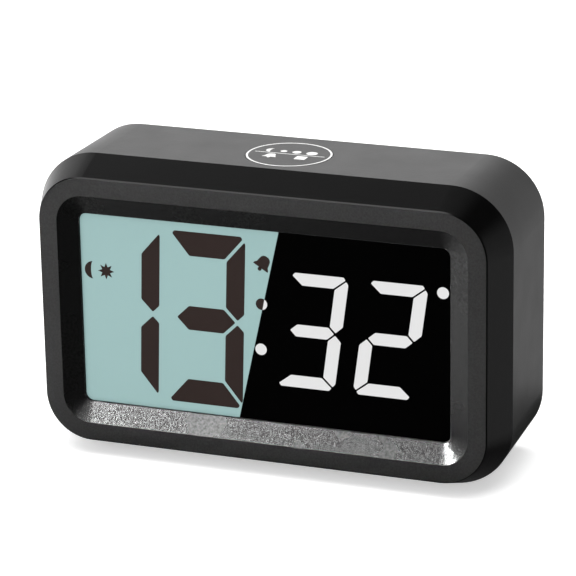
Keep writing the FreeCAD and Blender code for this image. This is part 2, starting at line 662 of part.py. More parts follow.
def snooze_opening(body):
    """The round hole in the top and the hooks that carry the snooze board."""
    hole = sketch_on(body, "top", "case_height / 2")
    circle(hole, "0", "snooze_y", "snooze_hole")
    pocket(body, hole, "case_wall + 2 * case_draft", "down")
    hooks = sketch_on(body, "front", "snooze_y - hook_width / 2")
    for side in (1, -1):
        outline(hooks, hook_shape(side, "snooze_board_width / 2",
                                  "top_z - case_wall / 2 - case_draft - middle_z",
                                  "snooze_board_z - middle_z",
                                  "snooze_board_z - middle_z - side_board_thickness"))
    pad(body, hooks, "hook_width", "rear")


# Screws and feet

def screw_profile(body, head, head_height, shank, length):
    """A screw with a plain round head at its base point."""
    half = sketch_on(body, "top")
    outline(half, [("0", f"-{head_height}"), (f"{head} / 2", f"-{head_height}"), (f"{head} / 2", "0"),
                   (f"{shank} / 2", "0"), (f"{shank} / 2", length), ("0", length)])
    turned(body, half)


def screws(label, spots, head, head_height, shank, length):
    """Like screws as one group, driven towards the front, each in its own place."""
    parts = []
    for index, (x, y, z) in enumerate(spots):
        body = piece(f"{label}_{index + 1}", x, y, z)
        screw_profile(body, head, head_height, shank, length)
        body.Placement.Rotation = FreeCAD.Rotation(Vector(0, 0, 1), 180)
        pieces.remove(body)
        parts.append(body)
    group = doc.addObject("Part::Compound", label)
    group.Label = label
    group.Links = parts
    pieces.append(group)


def case_screws():
    spots = [(across, "joint_y + case_seat", f"middle_z + {up}") for across, up in CASE_SCREWS]
    screws("case_screws", spots, "screw_head", "screw_head_height", "screw_shank", "case_seat + screw_reach")


def board_screws():
    spots = [(across, "board_back_y", f"middle_z + {up}") for across, up in BOARD_SCREWS]
    screws("board_screws", spots, "small_head", "small_head_height", "small_shank",
           "board_thickness + small_reach")


def rubber_feet():
    for depth, level in (("front", "joint_y + foot_front"), ("rear", "rear_y - foot_rear")):
        for name, side in (("left", -1), ("right", 1)):
            body = piece(f"foot_{depth}_{name}", f"{side} * foot_x", level)
            shape = sketch_on(body, "top")
            box_shape(shape, "-foot_length / 2", "foot_length / 2", "-foot_width / 2", "foot_width / 2")
            pad(body, shape, "foot_proud + foot_sunk", "up")


# Display: glass, polarisers, light guide and the frame that holds them

def sheet(label, front, thickness, left, right, low, high):
    """A flat sheet parallel to the face."""
    body = piece(label, z="middle_z")
    shape = sketch_on(body, "front", front)
    box_shape(shape, left, right, low, high)
    pad(body, shape, thickness, "rear")
    return body


def front_polarisers():
    low, high = ("-window_height / 2 - film_border", "window_height / 2 + film_border")
    lean = "(split_top - split_bottom) / window_height * film_border"
    for side, label in ((-1, "polariser_left"), (1, "polariser_right")):
        body = piece(label, z="middle_z")
        edge = f"{side} * (window_width / 2 + film_border)"
        shape = sketch_on(body, "front", "glass_y")
        outline(shape, [(edge, low), (f"split_bottom - {lean}", low), (f"split_top + {lean}", high),
                        (edge, high)])
        pad(body, shape, "film_thickness", "rear")


def display_glass():
    half_width, half_height = ("glass_width / 2", "glass_height / 2")
    sheet("front_glass", "front_glass_y", "glass_thickness", f"-{half_width}", half_width,
          f"-{half_height} - glass_ledge", half_height)
    sheet("rear_glass", "rear_glass_y", "glass_thickness", f"-{half_width}", half_width,
          f"-{half_height}", half_height)
    for label, front in (("rear_polariser", "rear_film_y"), ("reflector_sheet", "reflector_y")):
        sheet(label, front, "film_thickness", f"-{half_width}", half_width, f"-{half_height}", half_height)


def light_guide():
    body = sheet("light_guide", "guide_y", "guide_thickness", "-glass_width / 2", "glass_width / 2",
                 "-glass_height / 2", "glass_height / 2")
    notch = sketch_on(body, "front", "guide_y")
    for side in (1, -1):
        low, high = (f"{side} * lamp_spacing / 2 {sign} (lamp_height / 2 + static_gap)" for sign in "-+")
        left = "glass_width / 2 - guide_notch"
        box_shape(notch, left, "glass_width / 2 + static_gap", low, high)
    pocket(body, notch, "guide_thickness", "rear")


def side_lamps():
    body = piece("side_lamps", z="middle_z", group=True)
    lamp = sketch_on(body, "front", "guide_y + static_gap")
    box_shape(lamp, "glass_width / 2 - guide_notch + static_gap", "glass_width / 2",
              "(lamp_spacing - lamp_height) / 2", "(lamp_spacing + lamp_height) / 2")
    upper = pad(body, lamp, "guide_thickness - static_gap", "rear")
    mirrored(body, [upper], "top")


def display_frame():
    body = piece("display_frame", z="middle_z")
    left, right = ("-tray_width / 2 - frame_wall", "tray_width / 2 + frame_wall")
    low, high = ("-glass_height / 2 - glass_ledge - static_gap - frame_wall",
                 "glass_height / 2 + static_gap + frame_wall")
    outer = sketch_on(body, "front", "glass_y")
    box_shape(outer, left, right, low, high)
    pad(body, outer, "board_y - glass_y", "rear")
    room = sketch_on(body, "front", "glass_y")
    box_shape(room, "-tray_width / 2", "tray_width / 2", "-glass_height / 2 - static_gap",
              "glass_height / 2 + static_gap")
    pocket(body, room, "tray_y - glass_y", "rear")
    ledge = sketch_on(body, "front", "glass_y")
    box_shape(ledge, "-tray_width / 2", "tray_width / 2", "-glass_height / 2 - glass_ledge - static_gap",
              "glass_height / 2")
    pocket(body, ledge, "rear_glass_y - glass_y", "rear")
    channel = sketch_on(body, "front", "rear_glass_y")
    half = "(strip_length / 2 + static_gap)"
    box_shape(channel, f"-{half}", half, "-glass_height / 2 - glass_ledge + static_gap",
              "-glass_height / 2 - static_gap / 2")
    pocket(body, channel, "board_y - rear_glass_y", "rear")


def contact_strip():
    low = "-glass_height / 2 - glass_ledge / 2 - strip_thickness / 2"
    sheet("contact_strip", "rear_glass_y", "board_y - rear_glass_y", "-strip_length / 2",
          "strip_length / 2", low, f"{low} + strip_thickness")


# Boards and what is soldered to them

def main_board():
    body = piece("main_board", z="middle_z")
    shape = sketch_on(body, "front", "board_y")
    half_x, half_z, ear_x, ear_z = ("board_width / 2", "board_height / 2",
                                    "(board_screw_x + small_head / 2 + ear_margin)", "ear_height / 2")
    ring = [(ear_x, ear_z), (half_x, ear_z), (half_x, half_z)]
    points = ring + [(f"-{x}", z) for x, z in reversed(ring)]
    points += [(f"-{x}", f"-{z}") for x, z in ring] + [(x, f"-{z}") for x, z in reversed(ring)]
    outline(shape, points)
    circles(shape, BOARD_SCREWS, "small_shank + screw_clear")
    pad(body, shape, "board_thickness", "rear")


def sealed_chip():
    body = piece("sealed_chip", y="board_back_y", z="middle_z")
    shape = sketch_on(body, "front")
    circle(shape, "0", "0", "blob_width")
    pad(body, shape, "blob_height", "rear")


def timing_crystal():
    body = piece("timing_crystal", x="-blob_width", y="board_back_y + crystal_width / 2",
                 z="middle_z - crystal_length / 2")
    shape = sketch_on(body, "top")
    circle(shape, "0", "0", "crystal_width")
    pad(body, shape, "crystal_length", "up")


def key_board():
    body = piece("key_board", z="button_z")
    shape = sketch_on(body, "front", "key_board_y - side_board_thickness")
    box_shape(shape, "-key_board_width / 2", "key_board_width / 2", "-key_board_height / 2",
              "key_board_height / 2")
    pad(body, shape, "side_board_thickness", "rear")


def snooze_board():
    body = piece("snooze_board", y="snooze_y")
    shape = sketch_on(body, "top", "snooze_board_z")
    box_shape(shape, "-snooze_board_width / 2", "snooze_board_width / 2", "-snooze_board_depth / 2",
              "snooze_board_depth / 2")
    pad(body, shape, "side_board_thickness", "down")


def piezo_sounder():
    body = piece("piezo_sounder", "sounder_x", "key_board_y", "button_z")
    shape = sketch_on(body, "front")
    circle(shape, "0", "0", "sounder_width")
    pad(body, shape, "sounder_height", "rear")


# Buttons, their rubber domes and the alarm switch

def snooze_button():
    """A round cap whose top follows the slope of the case, with a square flange under the case."""
    body = piece("snooze_button", y="snooze_y")
    flange = sketch_on(body, "top", "snooze_flange_z")
    squares(flange, [("0", "0")], "snooze_flange")
    pad(body, flange, "flange_thickness", "down")
    cap = sketch_on(body, "top", "snooze_flange_z")
    circle(cap, "0", "0", "snooze_width")
    pad(body, cap, "snooze_top_z + slope * snooze_width - snooze_flange_z", "up")
    wedge = sketch_on(body, "side", "-snooze_flange / 2")
    near, far, rise = ("-snooze_flange / 2", "snooze_flange / 2", "slope * snooze_flange")
    outline(wedge, [(near, f"snooze_top_z + {rise} / 2"), (far, f"snooze_top_z - {rise} / 2"),
                    (far, f"snooze_top_z + 2 * {rise}"), (near, f"snooze_top_z + 2 * {rise}")])
    pocket(body, wedge, "snooze_flange", "right")


def rubber_switch(body, view, towards):
    """A square base and a round plunger that squeezes when the button comes down."""
    base = sketch_on(body, view)
    squares(base, [("0", "0")], "dome_width")
    pad(body, base, "dome_base", towards)
    plunger = sketch_on(body, view, "dome_base")
    circle(plunger, "0", "0", "dome_top")
    pad(body, plunger, "dome_height - dome_base", towards)


def snooze_dome():
    body = piece("snooze_dome", y="snooze_y", z="snooze_board_z")
    rubber_switch(body, "top", "up")


REAR_BUTTONS = ("time", "alarm", "up", "down", "light")


def rear_button(label, x):
    """A long button with cut corners, an edge that draws in and a flange behind the wall."""
    body = piece(label, x, z="button_z")
    crown_y, flange_y = ("rear_y + button_proud - button_round", "wall_y - static_gap / 2")
    crown = sketch_on(body, "front", crown_y)
    cut_cornered(crown, "button_length", "button_height", "button_cut")
    pad(body, crown, f"{crown_y} - ({flange_y})", "front")
    edge = sketch_on(body, "front", crown_y)
    cut_cornered(edge, "button_length", "button_height", "button_cut")
    top = sketch_on(body, "front", "rear_y + button_proud")
    cut_cornered(top, "button_length - 2 * button_round", "button_height - 2 * button_round",
                 "(button_cut - button_round / 2)")
    loft(body, edge, top)
    flange = sketch_on(body, "front", flange_y)
    reach, height = ("(button_length / 2 + flange_reach)", "(button_height / 2 + flange_reach)")
    box_shape(flange, f"-{reach}", reach, f"-{height}", height)
    pad(body, flange, "flange_thickness", "front")


def rear_buttons():
    for index, name in enumerate(REAR_BUTTONS):
        x = f"{index - 2} * button_pitch"
        rear_button(f"button_{name}", x)
        dome = piece(f"dome_{name}", x, "key_board_y", "button_z")
        rubber_switch(dome, "front", "rear")


def alarm_slider():
    """A ridged thumb piece in the slot, with a plate behind the wall and a fork for the lever."""
    body = piece("alarm_slider", "slider_x - slider_travel / 2", z="button_z")
    thumb = sketch_on(body, "front", "rear_y + slider_proud")
    plate_y = "wall_y - static_gap / 2"
    high = "(slider_slot_height / 2 - running_gap)"
    box_shape(thumb, "-slider_thumb / 2", "slider_thumb / 2", f"-{high}", high)
    pad(body, thumb, f"rear_y + slider_proud - ({plate_y})", "front")
    grooves = sketch_on(body, "front", "rear_y + slider_proud")
    for step in (-1, 0, 1):
        left, right = (f"{step} * slider_thumb / 4 {sign} slider_thumb / 16" for sign in "-+")
        box_shape(grooves, left, right, "-slider_slot_height", "slider_slot_height")
    pocket(body, grooves, "slider_proud / 2", "front")
    plate = sketch_on(body, "front", plate_y)
    reach = "((slider_thumb + slider_travel + slider_cover) / 2)"
    height = "(slider_slot_height / 2 + slider_cover)"
    box_shape(plate, f"-{reach}", reach, f"-{height}", height)
    pad(body, plate, "slider_plate", "front")
    fork = sketch_on(body, "front", f"{plate_y} - slider_plate")
    half = "(lever_width / 2 + pilot_gap)"
    box_shape(fork, f"-{half}", half, f"-{half}", half)
    pocket(body, fork, "slider_plate + case_wall / 2", "rear")


def slide_switch():
    body = piece("slide_switch", "slider_x", "key_board_y", "button_z")
    shape = sketch_on(body, "front", "switch_height")
    box_shape(shape, "-switch_length / 2", "switch_length / 2", "-switch_depth / 2", "switch_depth / 2")
    pad(body, shape, "switch_height", "front")
    slot = sketch_on(body, "front", "switch_height")
    reach = "((lever_width + slider_travel + switch_shoe) / 2 + static_gap)"
    half = "(lever_width / 2 + static_gap)"
    box_shape(slot, f"-{reach}", reach, f"-{half}", half)
    pocket(body, slot, "switch_height * 0.75", "front")
    lever = piece("switch_lever", "slider_x - slider_travel / 2", "key_board_y", "button_z")
    tip = "(wall_y - static_gap / 2 - slider_plate / 2 - key_board_y + case_wall / 2)"
    stick = sketch_on(lever, "front", tip)
    box_shape(stick, "-lever_width / 2", "lever_width / 2", "-lever_width / 2", "lever_width / 2")
    pad(lever, stick, f"{tip} - switch_height * 0.25 - static_gap", "front")


# Battery cells, contacts and door

def battery_cells():
    for index in range(3):
        body = piece(f"cell_{index + 1}", y="cell_y", z=f"cell_low_z + {index} * cell_pitch")
        half = sketch_on(body, "top")
        nub_way, flat_way = ("", "-") if index % 2 else ("-", "")
        shoulder = f"{nub_way}(cell_length / 2 - cell_nub_height)"
        nub_end, flat_end = (f"{way}cell_length / 2" for way in (nub_way, flat_way))
        outline(half, [(nub_end, "0"), (nub_end, "cell_nub / 2"), (shoulder, "cell_nub / 2"),
                       (shoulder, "cell_width / 2"), (flat_end, "cell_width / 2"), (flat_end, "0")])
        turned(body, half, "H_Axis")


def contact(label, side, first, count):
    """A stamped plate in one end of the bay with a bent spring leaf for each of its cells."""
    body = piece(label, f"{side} * bay_width / 2", "cell_y", f"cell_low_z + {first} * cell_pitch")
    inward = f"{-side} *"
    plate = sketch_on(body, "side")
    box_shape(plate, "-contact_depth / 2", "contact_depth / 2", "-contact_depth / 2",
              f"{count - 1} * cell_pitch + contact_depth / 2")
    pad(body, plate, "contact_thickness", "left" if side > 0 else "right")
    leaf = sketch_on(body, "top", "-cell_nub / 2")
    near, far = ("contact_thickness", "(bay_end - static_gap)")
    outline(leaf, [(f"{inward} {near} / 2", "-contact_depth * 0.4"),
                   (f"{inward} {far}", "-contact_depth * 0.06"), (f"{inward} {far}", "contact_depth * 0.06"),
                   (f"{inward} {near} * 2", "contact_depth * 0.4"),
                   (f"{inward} {near} * 2", "contact_depth * 0.3"),
                   (f"{inward} ({far} - contact_thickness)", "contact_depth * 0.03"),
                   (f"{inward} ({far} - contact_thickness)", "-contact_depth * 0.03"),
                   (f"{inward} {near} / 2", "-contact_depth * 0.3")])
    strip = pad(body, leaf, "cell_nub", "up")
    if count > 1:
        row = sketch_on(body, "side")
        in_line(body, [strip], row, "V_Axis", "cell_pitch", count)


def battery_contacts():
    contact("contact_left_pair", -1, 0, 2)
    contact("contact_left_single", -1, 2, 1)
    contact("contact_right_single", 1, 0, 1)
    contact("contact_right_pair", 1, 1, 2)


def battery_door():
    """A flush door with ribs inside, grip lines outside and two hooked tabs at its hinge edge."""
    body = piece("battery_door", y="rear_y", z="door_z")
    leaf = sketch_on(body, "front")
    rounded(leaf, "-door_width / 2", "door_width / 2", "0", "door_height", "door_corner")
    pad(body, leaf, "door_thickness", "front")
    cut = sketch_on(body, "front")
    left, right = (f"{sign} (latch_width / 2 + static_gap)" for sign in "-+")
    box_shape(cut, left, right, "door_height - 1.5 * latch_thickness", "door_height + running_gap")
    pocket(body, cut, "door_thickness", "front")

    grip = sketch_on(body, "front")
    for step in range(3):
        low = f"grip_up + {step} * grip_pitch"
        box_shape(grip, "-latch_width", "latch_width", low, f"{low} + grip_line")
    pocket(body, grip, "door_thickness / 4", "front")

    hook = sketch_on(body, "side", "tab_x - tab_width / 2")
    inner, outer = ("-tab_in - tab_thickness", "-tab_in")
    outline(hook, [("-door_thickness / 2", "door_rest"), ("-door_thickness / 2", "door_rest + tab_root"),
                   (inner, "door_rest + tab_root"), (inner, "-tab_drop"), (outer, "-tab_drop"),
                   (outer, "door_rest")])
    tab = pad(body, hook, "tab_width", "right")
    mirrored(body, [tab], "side")


def door_latch():
    """The springy bend at the door's free edge, with a hook that catches behind the wall."""
    body = piece("door_latch", y="rear_y", z="door_z + door_height")
    bend = sketch_on(body, "side", "-latch_width / 2")
    top, step = ("-static_gap / 2", "latch_thickness")
    deep = "-door_thickness - latch_reach + case_wall"
    catch = "-case_wall - static_gap"
    root = "-3.5 * latch_thickness"
    outline(bend, [("-door_thickness", root), (deep, root), (deep, top), (f"{catch} - latch_hook * 1.6", top),
                   (f"{catch} - latch_hook / 4", "running_gap + latch_hook * 0.8"),
                   (catch, "running_gap + latch_hook * 0.8"), (catch, top), ("0", top),
                   ("0", f"{top} - {step}"),
                   (f"{deep} + {step}", f"{top} - {step}"), (f"{deep} + {step}", f"{root} + {step}"),
                   ("-door_thickness", f"{root} + {step}")])
    pad(body, bend, "latch_width", "right")


# Flat cables and their sockets

def cable(label, x, width, points):
    """A flat cable that follows a bent path seen from the side."""
    body = piece(label, x)
    strip = sketch_on(body, "side", f"-({width}) / 2")
    there = points
    back = [(y, f"{z} - cable_thickness") for y, z in reversed(points)]
    outline(strip, there + back)
    pad(body, strip, width, "right")


def cables():
    cable("key_cable", "2 * button_pitch", "key_cable_width",
          [("board_back_y + socket_depth / 2", "cable_low_z"),
           ("board_back_y + socket_depth * 2", "cable_low_z"),
           ("board_back_y + socket_depth * 3.5", "cable_low_z + cable_bend"),
           ("key_board_y - side_board_thickness - socket_depth * 3.5", "cable_high_z - cable_bend"),
           ("key_board_y - side_board_thickness - socket_depth * 2", "cable_high_z"),
           ("key_board_y - side_board_thickness - socket_depth / 2", "cable_high_z")])
    under = "snooze_board_z - side_board_thickness"
    edge = "snooze_y - snooze_board_depth / 2"
    cable("snooze_cable", "0", "snooze_cable_width",
          [("board_back_y", f"{under} - cable_sag"),
           ("board_back_y + cable_bend", f"{under} - cable_sag + cable_bend / 3"),
           (f"{edge} - cable_bend", f"{under} - cable_bend / 2"), (f"{edge} + cable_bend / 2", under),
           (f"{edge} + 2 * cable_bend", under)])


def cable_sockets():
    body = piece("cable_sockets", x="2 * button_pitch", group=True)
    width = "key_cable_width + 2 * socket_wall"
    for start, middle, towards in (("board_back_y", "cable_low_z", "rear"),
                                   ("key_board_y - side_board_thickness", "cable_high_z", "front")):
        shape = sketch_on(body, "front", start)
        low, high = (f"{middle} - cable_thickness / 2 {sign} socket_height / 2" for sign in "-+")
        box_shape(shape, f"-({width}) / 2", f"({width}) / 2", low, high)
        pad(body, shape, "socket_depth", towards)
        opening = sketch_on(body, "front", start)
        half = "key_cable_width / 2 + static_gap"
        box_shape(opening, f"-({half})", half, f"{middle} - cable_thickness - static_gap",
                  f"{middle} + static_gap")
        pocket(body, opening, "socket_depth", towards)


front_bezel()
rear_housing()
case_screws()
board_screws()
rubber_feet()
front_polarisers()
display_glass()
light_guide()
side_lamps()
display_frame()
contact_strip()
main_board()
sealed_chip()
timing_crystal()
key_board()
snooze_board()
piezo_sounder()
snooze_button()
snooze_dome()
rear_buttons()
alarm_slider()
slide_switch()
battery_cells()
battery_contacts()
battery_door()
door_latch()
cables()
cable_sockets()
doc.recompute()

faults = [item.Label for item in doc.Objects if "Invalid" in item.State or "Error" in item.State]
faults += [body.Label for body in pieces if body.Shape.isNull() or not body.Shape.isValid()]
if faults:
    raise RuntimeError("not built: " + ", ".join(faults))

os.makedirs("parts", exist_ok=True)
for body in pieces:
    body.Shape.exportStep(f"parts/{body.Label}.step")
    box = body.Shape.BoundBox
    print(f"{body.Label:22} solids {len(body.Shape.Solids)}  volume {body.Shape.Volume:9.1f}  "
          f"x {box.XMin:7.2f} {box.XMax:7.2f}  y {box.YMin:7.2f} {box.YMax:7.2f}  "
          f"z {box.ZMin:7.2f} {box.ZMax:7.2f}")
print(len(pieces), "pieces")
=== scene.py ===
# %% [markdown]
# # A digital alarm clock with a two-tone display
# The clock's case, buttons, display glass, battery door and boards come ready-made as a fixed frame of
# solids. This notebook gives each of them its finish, prints the figures on the display and the marks
# on the buttons, and sets up the floor, the lamps and the camera.

# %% Load the clock's solids
import json
import math
import bpy
from mathutils import Matrix, Vector


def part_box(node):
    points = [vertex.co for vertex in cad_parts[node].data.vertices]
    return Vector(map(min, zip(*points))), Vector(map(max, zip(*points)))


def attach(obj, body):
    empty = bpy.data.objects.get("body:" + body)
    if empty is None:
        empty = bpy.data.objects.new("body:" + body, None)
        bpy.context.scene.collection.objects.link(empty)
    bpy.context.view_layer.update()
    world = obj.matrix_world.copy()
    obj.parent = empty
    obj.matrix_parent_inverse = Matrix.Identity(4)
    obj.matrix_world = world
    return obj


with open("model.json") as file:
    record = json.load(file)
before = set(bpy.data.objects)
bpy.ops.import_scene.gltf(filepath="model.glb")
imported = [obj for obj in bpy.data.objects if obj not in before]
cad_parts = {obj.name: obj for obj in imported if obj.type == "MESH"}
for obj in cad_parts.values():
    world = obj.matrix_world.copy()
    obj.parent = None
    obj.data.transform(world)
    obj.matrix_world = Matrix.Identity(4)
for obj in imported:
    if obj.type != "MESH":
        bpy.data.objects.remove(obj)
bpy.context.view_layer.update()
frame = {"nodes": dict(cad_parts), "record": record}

MM = 0.001
WHITE = (1.0, 1.0, 1.0, 1.0)
bpy.ops.object.select_all(action="DESELECT")

# %% [markdown]
# ## Camera
# The photograph is taken from far away with a long lens, a little from the right and from above. Long
# lenses keep the clock's edges nearly parallel. The camera's place is worked out from the point that it
# looks at, two angles and a distance, which is how a photographer would note it down. A small roll
# stands for a tripod that isn't quite level.

# %% Place the camera
LOOK_AT = Vector((8.11, -21.45, 53.16)) * MM
CAMERA_TURN = math.radians(20.54)
CAMERA_HEIGHT = math.radians(19.17)
CAMERA_ROLL = math.radians(-1.02)
CAMERA_DISTANCE = 814.3 * MM

camera_data = bpy.data.cameras.new("camera")
camera_data.lens = 199.2
camera_data.sensor_width = 36.0
camera_data.clip_start = 10 * MM
camera_data.clip_end = 20.0
camera = bpy.data.objects.new("camera", camera_data)
bpy.context.scene.collection.objects.link(camera)
bpy.context.scene.camera = camera

towards_camera = Vector((math.sin(CAMERA_TURN) * math.cos(CAMERA_HEIGHT),
                         -math.cos(CAMERA_TURN) * math.cos(CAMERA_HEIGHT),
                         math.sin(CAMERA_HEIGHT)))
camera.location = LOOK_AT + CAMERA_DISTANCE * towards_camera
level = (-towards_camera).to_track_quat("-Z", "Y").to_matrix().to_4x4()
camera.rotation_euler = (level @ Matrix.Rotation(CAMERA_ROLL, 4, "Z")).to_euler()
print("camera at", [round(value, 4) for value in camera.location])

# %% [markdown]
# ## Shader tools
# A finish is a small network of nodes. The same few steps come back in each of them: add a node, feed
# a socket with a number or with another node, do a sum, run a value from one level to another, and
# mix two values. Naming these steps once keeps each finish down to the lines that say what it looks
# like.

# %% Helpers for nodes
def node(tree, kind, **values):
    """A new shader node with some of its settings or inputs given."""
    new = tree.nodes.new("ShaderNode" + kind)
    for key, value in values.items():
        if hasattr(new, key):
            setattr(new, key, value)
        else:
            new.inputs[key.replace("_", " ")].default_value = value
    return new


def feed(tree, socket, value):
    """Link an output to a socket, or set the socket to a plain value."""
    if isinstance(value, bpy.types.NodeSocket):
        tree.links.new(value, socket)
    else:
        socket.default_value = value


def sum_of(tree, operation, first, second=0.0):
    """One step of arithmetic on two numbers."""
    step = node(tree, "Math", operation=operation)
    feed(tree, step.inputs[0], first)
    feed(tree, step.inputs[1], second)
    return step.outputs[0]


def vector_of(tree, operation, first, second=(0.0, 0.0, 0.0)):
    """One step of arithmetic on two vectors. A length or a product comes out as a number."""
    step = node(tree, "VectorMath", operation=operation)
    feed(tree, step.inputs[0], first)
    feed(tree, step.inputs[1], second)
    return step.outputs["Value" if operation in ("LENGTH", "DOT_PRODUCT") else "Vector"]


def ramp(tree, value, start, end, low=0.0, high=1.0, kind="LINEAR"):
    """Low as far as start, high from end on, and a run between them."""
    slide = node(tree, "MapRange", interpolation_type=kind, From_Min=start, From_Max=end,
                 To_Min=low, To_Max=high)
    feed(tree, slide.inputs["Value"], value)
    return slide.outputs["Result"]


def blend(tree, factor, first, second):
    """First where the factor is 0 and second where it is 1."""
    mix = node(tree, "Mix")
    feed(tree, mix.inputs["Factor"], factor)
    feed(tree, mix.inputs[2], first)
    feed(tree, mix.inputs[3], second)
    return mix.outputs[0]


def tint(tree, factor, first, second):
    """A colour between two colours."""
    mix = node(tree, "Mix", data_type="RGBA")
    feed(tree, mix.inputs["Factor"], factor)
    feed(tree, mix.inputs[6], (*first, 1.0))
    feed(tree, mix.inputs[7], (*second, 1.0))
    return mix.outputs[2]


def beyond(tree, middle, half, corner):
    """Distance outwards from a rounded rectangle, along the two axes in which it has a size."""
    place = vector_of(tree, "SUBTRACT", node(tree, "TexCoord").outputs["Object"], middle)
    in_plane = vector_of(tree, "MULTIPLY", place, [1.0 if size else 0.0 for size in half])
    past = vector_of(tree, "SUBTRACT", vector_of(tree, "ABSOLUTE", in_plane),
                     [size - corner if size else 0.0 for size in half])
    outside = vector_of(tree, "MAXIMUM", past)
    return sum_of(tree, "SUBTRACT", vector_of(tree, "LENGTH", outside), corner)


def seen_plainly(tree):
    """1 for rays straight from the camera or through clear pieces, and 0 for all others."""
    rays = node(tree, "LightPath")
    return sum_of(tree, "MAXIMUM", rays.outputs["Is Camera Ray"], rays.outputs["Is Transmission Ray"])


def mirrored_in(tree):
    """1 for rays that glossy surfaces send out, and 0 for all others."""
    return node(tree, "LightPath").outputs["Is Glossy Ray"]


def material(name):
    """A new node material with its tree and its main shader."""
    new = bpy.data.materials.new(name)
    new.use_nodes = True
    return new, new.node_tree, new.node_tree.nodes["Principled BSDF"]


# %% [markdown]
# ## Studio
# A black clock on white shows almost nothing of its own colour: what we see is the studio, mirrored in
# it. So the studio is built from the directions that each surface mirrors. A soft box to the left and
# above the camera gives the lower slope its bright sheen, a pale wall on the left greys the face, a
# white sweep behind greys the top and the side, and everything else is dark, which keeps the polished
# band black. The soft patches are painted into the world and are seen by glossy rays alone. Diffuse
# rays get an even grey, and the camera sees white. Each patch is a direction, the two angles in degrees
# between which it fades, and its brightness. The sweep is brighter to the left than to the right, and
# it fades out high up.

# %% Set up the surroundings
scene = bpy.context.scene
scene.view_settings.view_transform = "Standard"
world = bpy.data.worlds.new("studio")
scene.world = world
world.use_nodes = True
sky = world.node_tree
background = sky.nodes["Background"]
direction = node(sky, "TexCoord").outputs["Generated"]
AMBIENT = 0.40
DARK_ROOM = 0.02
SWEEP_LEFT, SWEEP_RIGHT = 1.05, 0.46
PATCHES = {"soft_box": ((-0.13, -0.90, 0.42), 7, 18, 2.1),
           "its_lamp": ((-0.61, -0.70, 0.37), 2, 10, 165.0),
           "left_wall": ((-0.76, -0.56, -0.33), 10, 46, 1.15),
           "top_front": ((-0.33, -0.33, 0.88), 6, 25, 2.0),
           "ceiling": ((-0.33, 0.46, 0.82), 15, 45, 0.14)}


def patch(towards, inner, outer, strength):
    """A soft round patch in a direction: full up to one angle in degrees, gone at another."""
    closeness = vector_of(sky, "DOT_PRODUCT", direction, Vector(towards).normalized())
    return ramp(sky, closeness, math.cos(math.radians(outer)), math.cos(math.radians(inner)),
                0.0, strength, "SMOOTHSTEP")


backwards = ramp(sky, vector_of(sky, "DOT_PRODUCT", direction, (0.0, 1.0, 0.0)), 0.2, 0.8)
sideways = vector_of(sky, "DOT_PRODUCT", direction, (1.0, 0.0, 0.0))
rise = vector_of(sky, "DOT_PRODUCT", direction, (0.3, 0.0, 1.0))
sweep = sum_of(sky, "MULTIPLY", backwards, ramp(sky, sideways, -0.30, 0.10, SWEEP_LEFT, SWEEP_RIGHT))
sweep = sum_of(sky, "MULTIPLY", sweep, ramp(sky, rise, 0.48, 0.72, 1.0, 0.0))
mirrored = sum_of(sky, "ADD", sweep, DARK_ROOM)
for towards, inner, outer, strength in PATCHES.values():
    mirrored = sum_of(sky, "ADD", mirrored, patch(towards, inner, outer, strength))
unseen = blend(sky, mirrored_in(sky), AMBIENT, mirrored)
feed(sky, background.inputs["Strength"], blend(sky, seen_plainly(sky), unseen, 1.0))
feed(sky, background.inputs["Color"], WHITE)
print("patches:", ", ".join(PATCHES))

# %% [markdown]
# Two lamps light what is really coloured: the display, the white print and the floor. They are hidden
# from glossy rays, because their mirror images are already in the world. The lamp overhead is wide,
# so that the clock's shadow on the floor stays soft.

# %% Hang the lamps
def lamp(name, place, size, power):
    """A square soft lamp at a place in metres that points at the clock's middle."""
    data = bpy.data.lights.new(name, "AREA")
    data.size = size
    data.energy = power
    body = bpy.data.objects.new(name, data)
    scene.collection.objects.link(body)
    body.location = place
    middle = Vector((0.0, 0.0, 40 * MM))
    body.rotation_euler = (middle - Vector(place)).to_track_quat("-Z", "Y").to_euler()
    body.visible_glossy = False
    return body


lamp("front_left_lamp", (-0.55, -1.05, 0.62), 0.55, 4.5)
lamp("overhead_lamp", (-0.1, -0.1, 1.3), 1.6, 22.0)

# %% [markdown]
# The floor is a sheet of white paper. Paper lit evenly comes out just below white, so seen by the
# camera it also gives off a little light of its own. That lifts it to white and leaves the soft
# shadow under the clock. Glossy surfaces see a painted floor instead: close to the clock, where its
# shadow lies, they find painted shade, a dark patch of fixed brightness, and further out they look
# through it at the studio's patches.

# %% Lay the floor
FOOTPRINT_MIDDLE = (0.0, 10 * MM, 0.0)
FOOTPRINT_HALF = (65 * MM, 30 * MM, 0.0)
SHADE_START, SHADE_END = 10 * MM, 35 * MM
PAPER_LIFT = 0.5
# Brightness of the painted shade that glossy rays see on the floor round the clock.
PAINTED_SHADE_LEVEL = 0.05
FLOOR_WIDTH = 8.0
bpy.ops.mesh.primitive_plane_add(size=FLOOR_WIDTH, location=(0.0, 0.0, 0.0))
floor = bpy.context.active_object
floor.name = "floor"
paper, tree, sheet = material("white_paper")
feed(tree, sheet.inputs["Base Color"], (0.9, 0.9, 0.9, 1.0))
feed(tree, sheet.inputs["Roughness"], 0.9)
feed(tree, sheet.inputs["Specular IOR Level"], 0.0)
feed(tree, sheet.inputs["Emission Color"], WHITE)
feed(tree, sheet.inputs["Emission Strength"], sum_of(tree, "MULTIPLY", seen_plainly(tree), PAPER_LIFT))
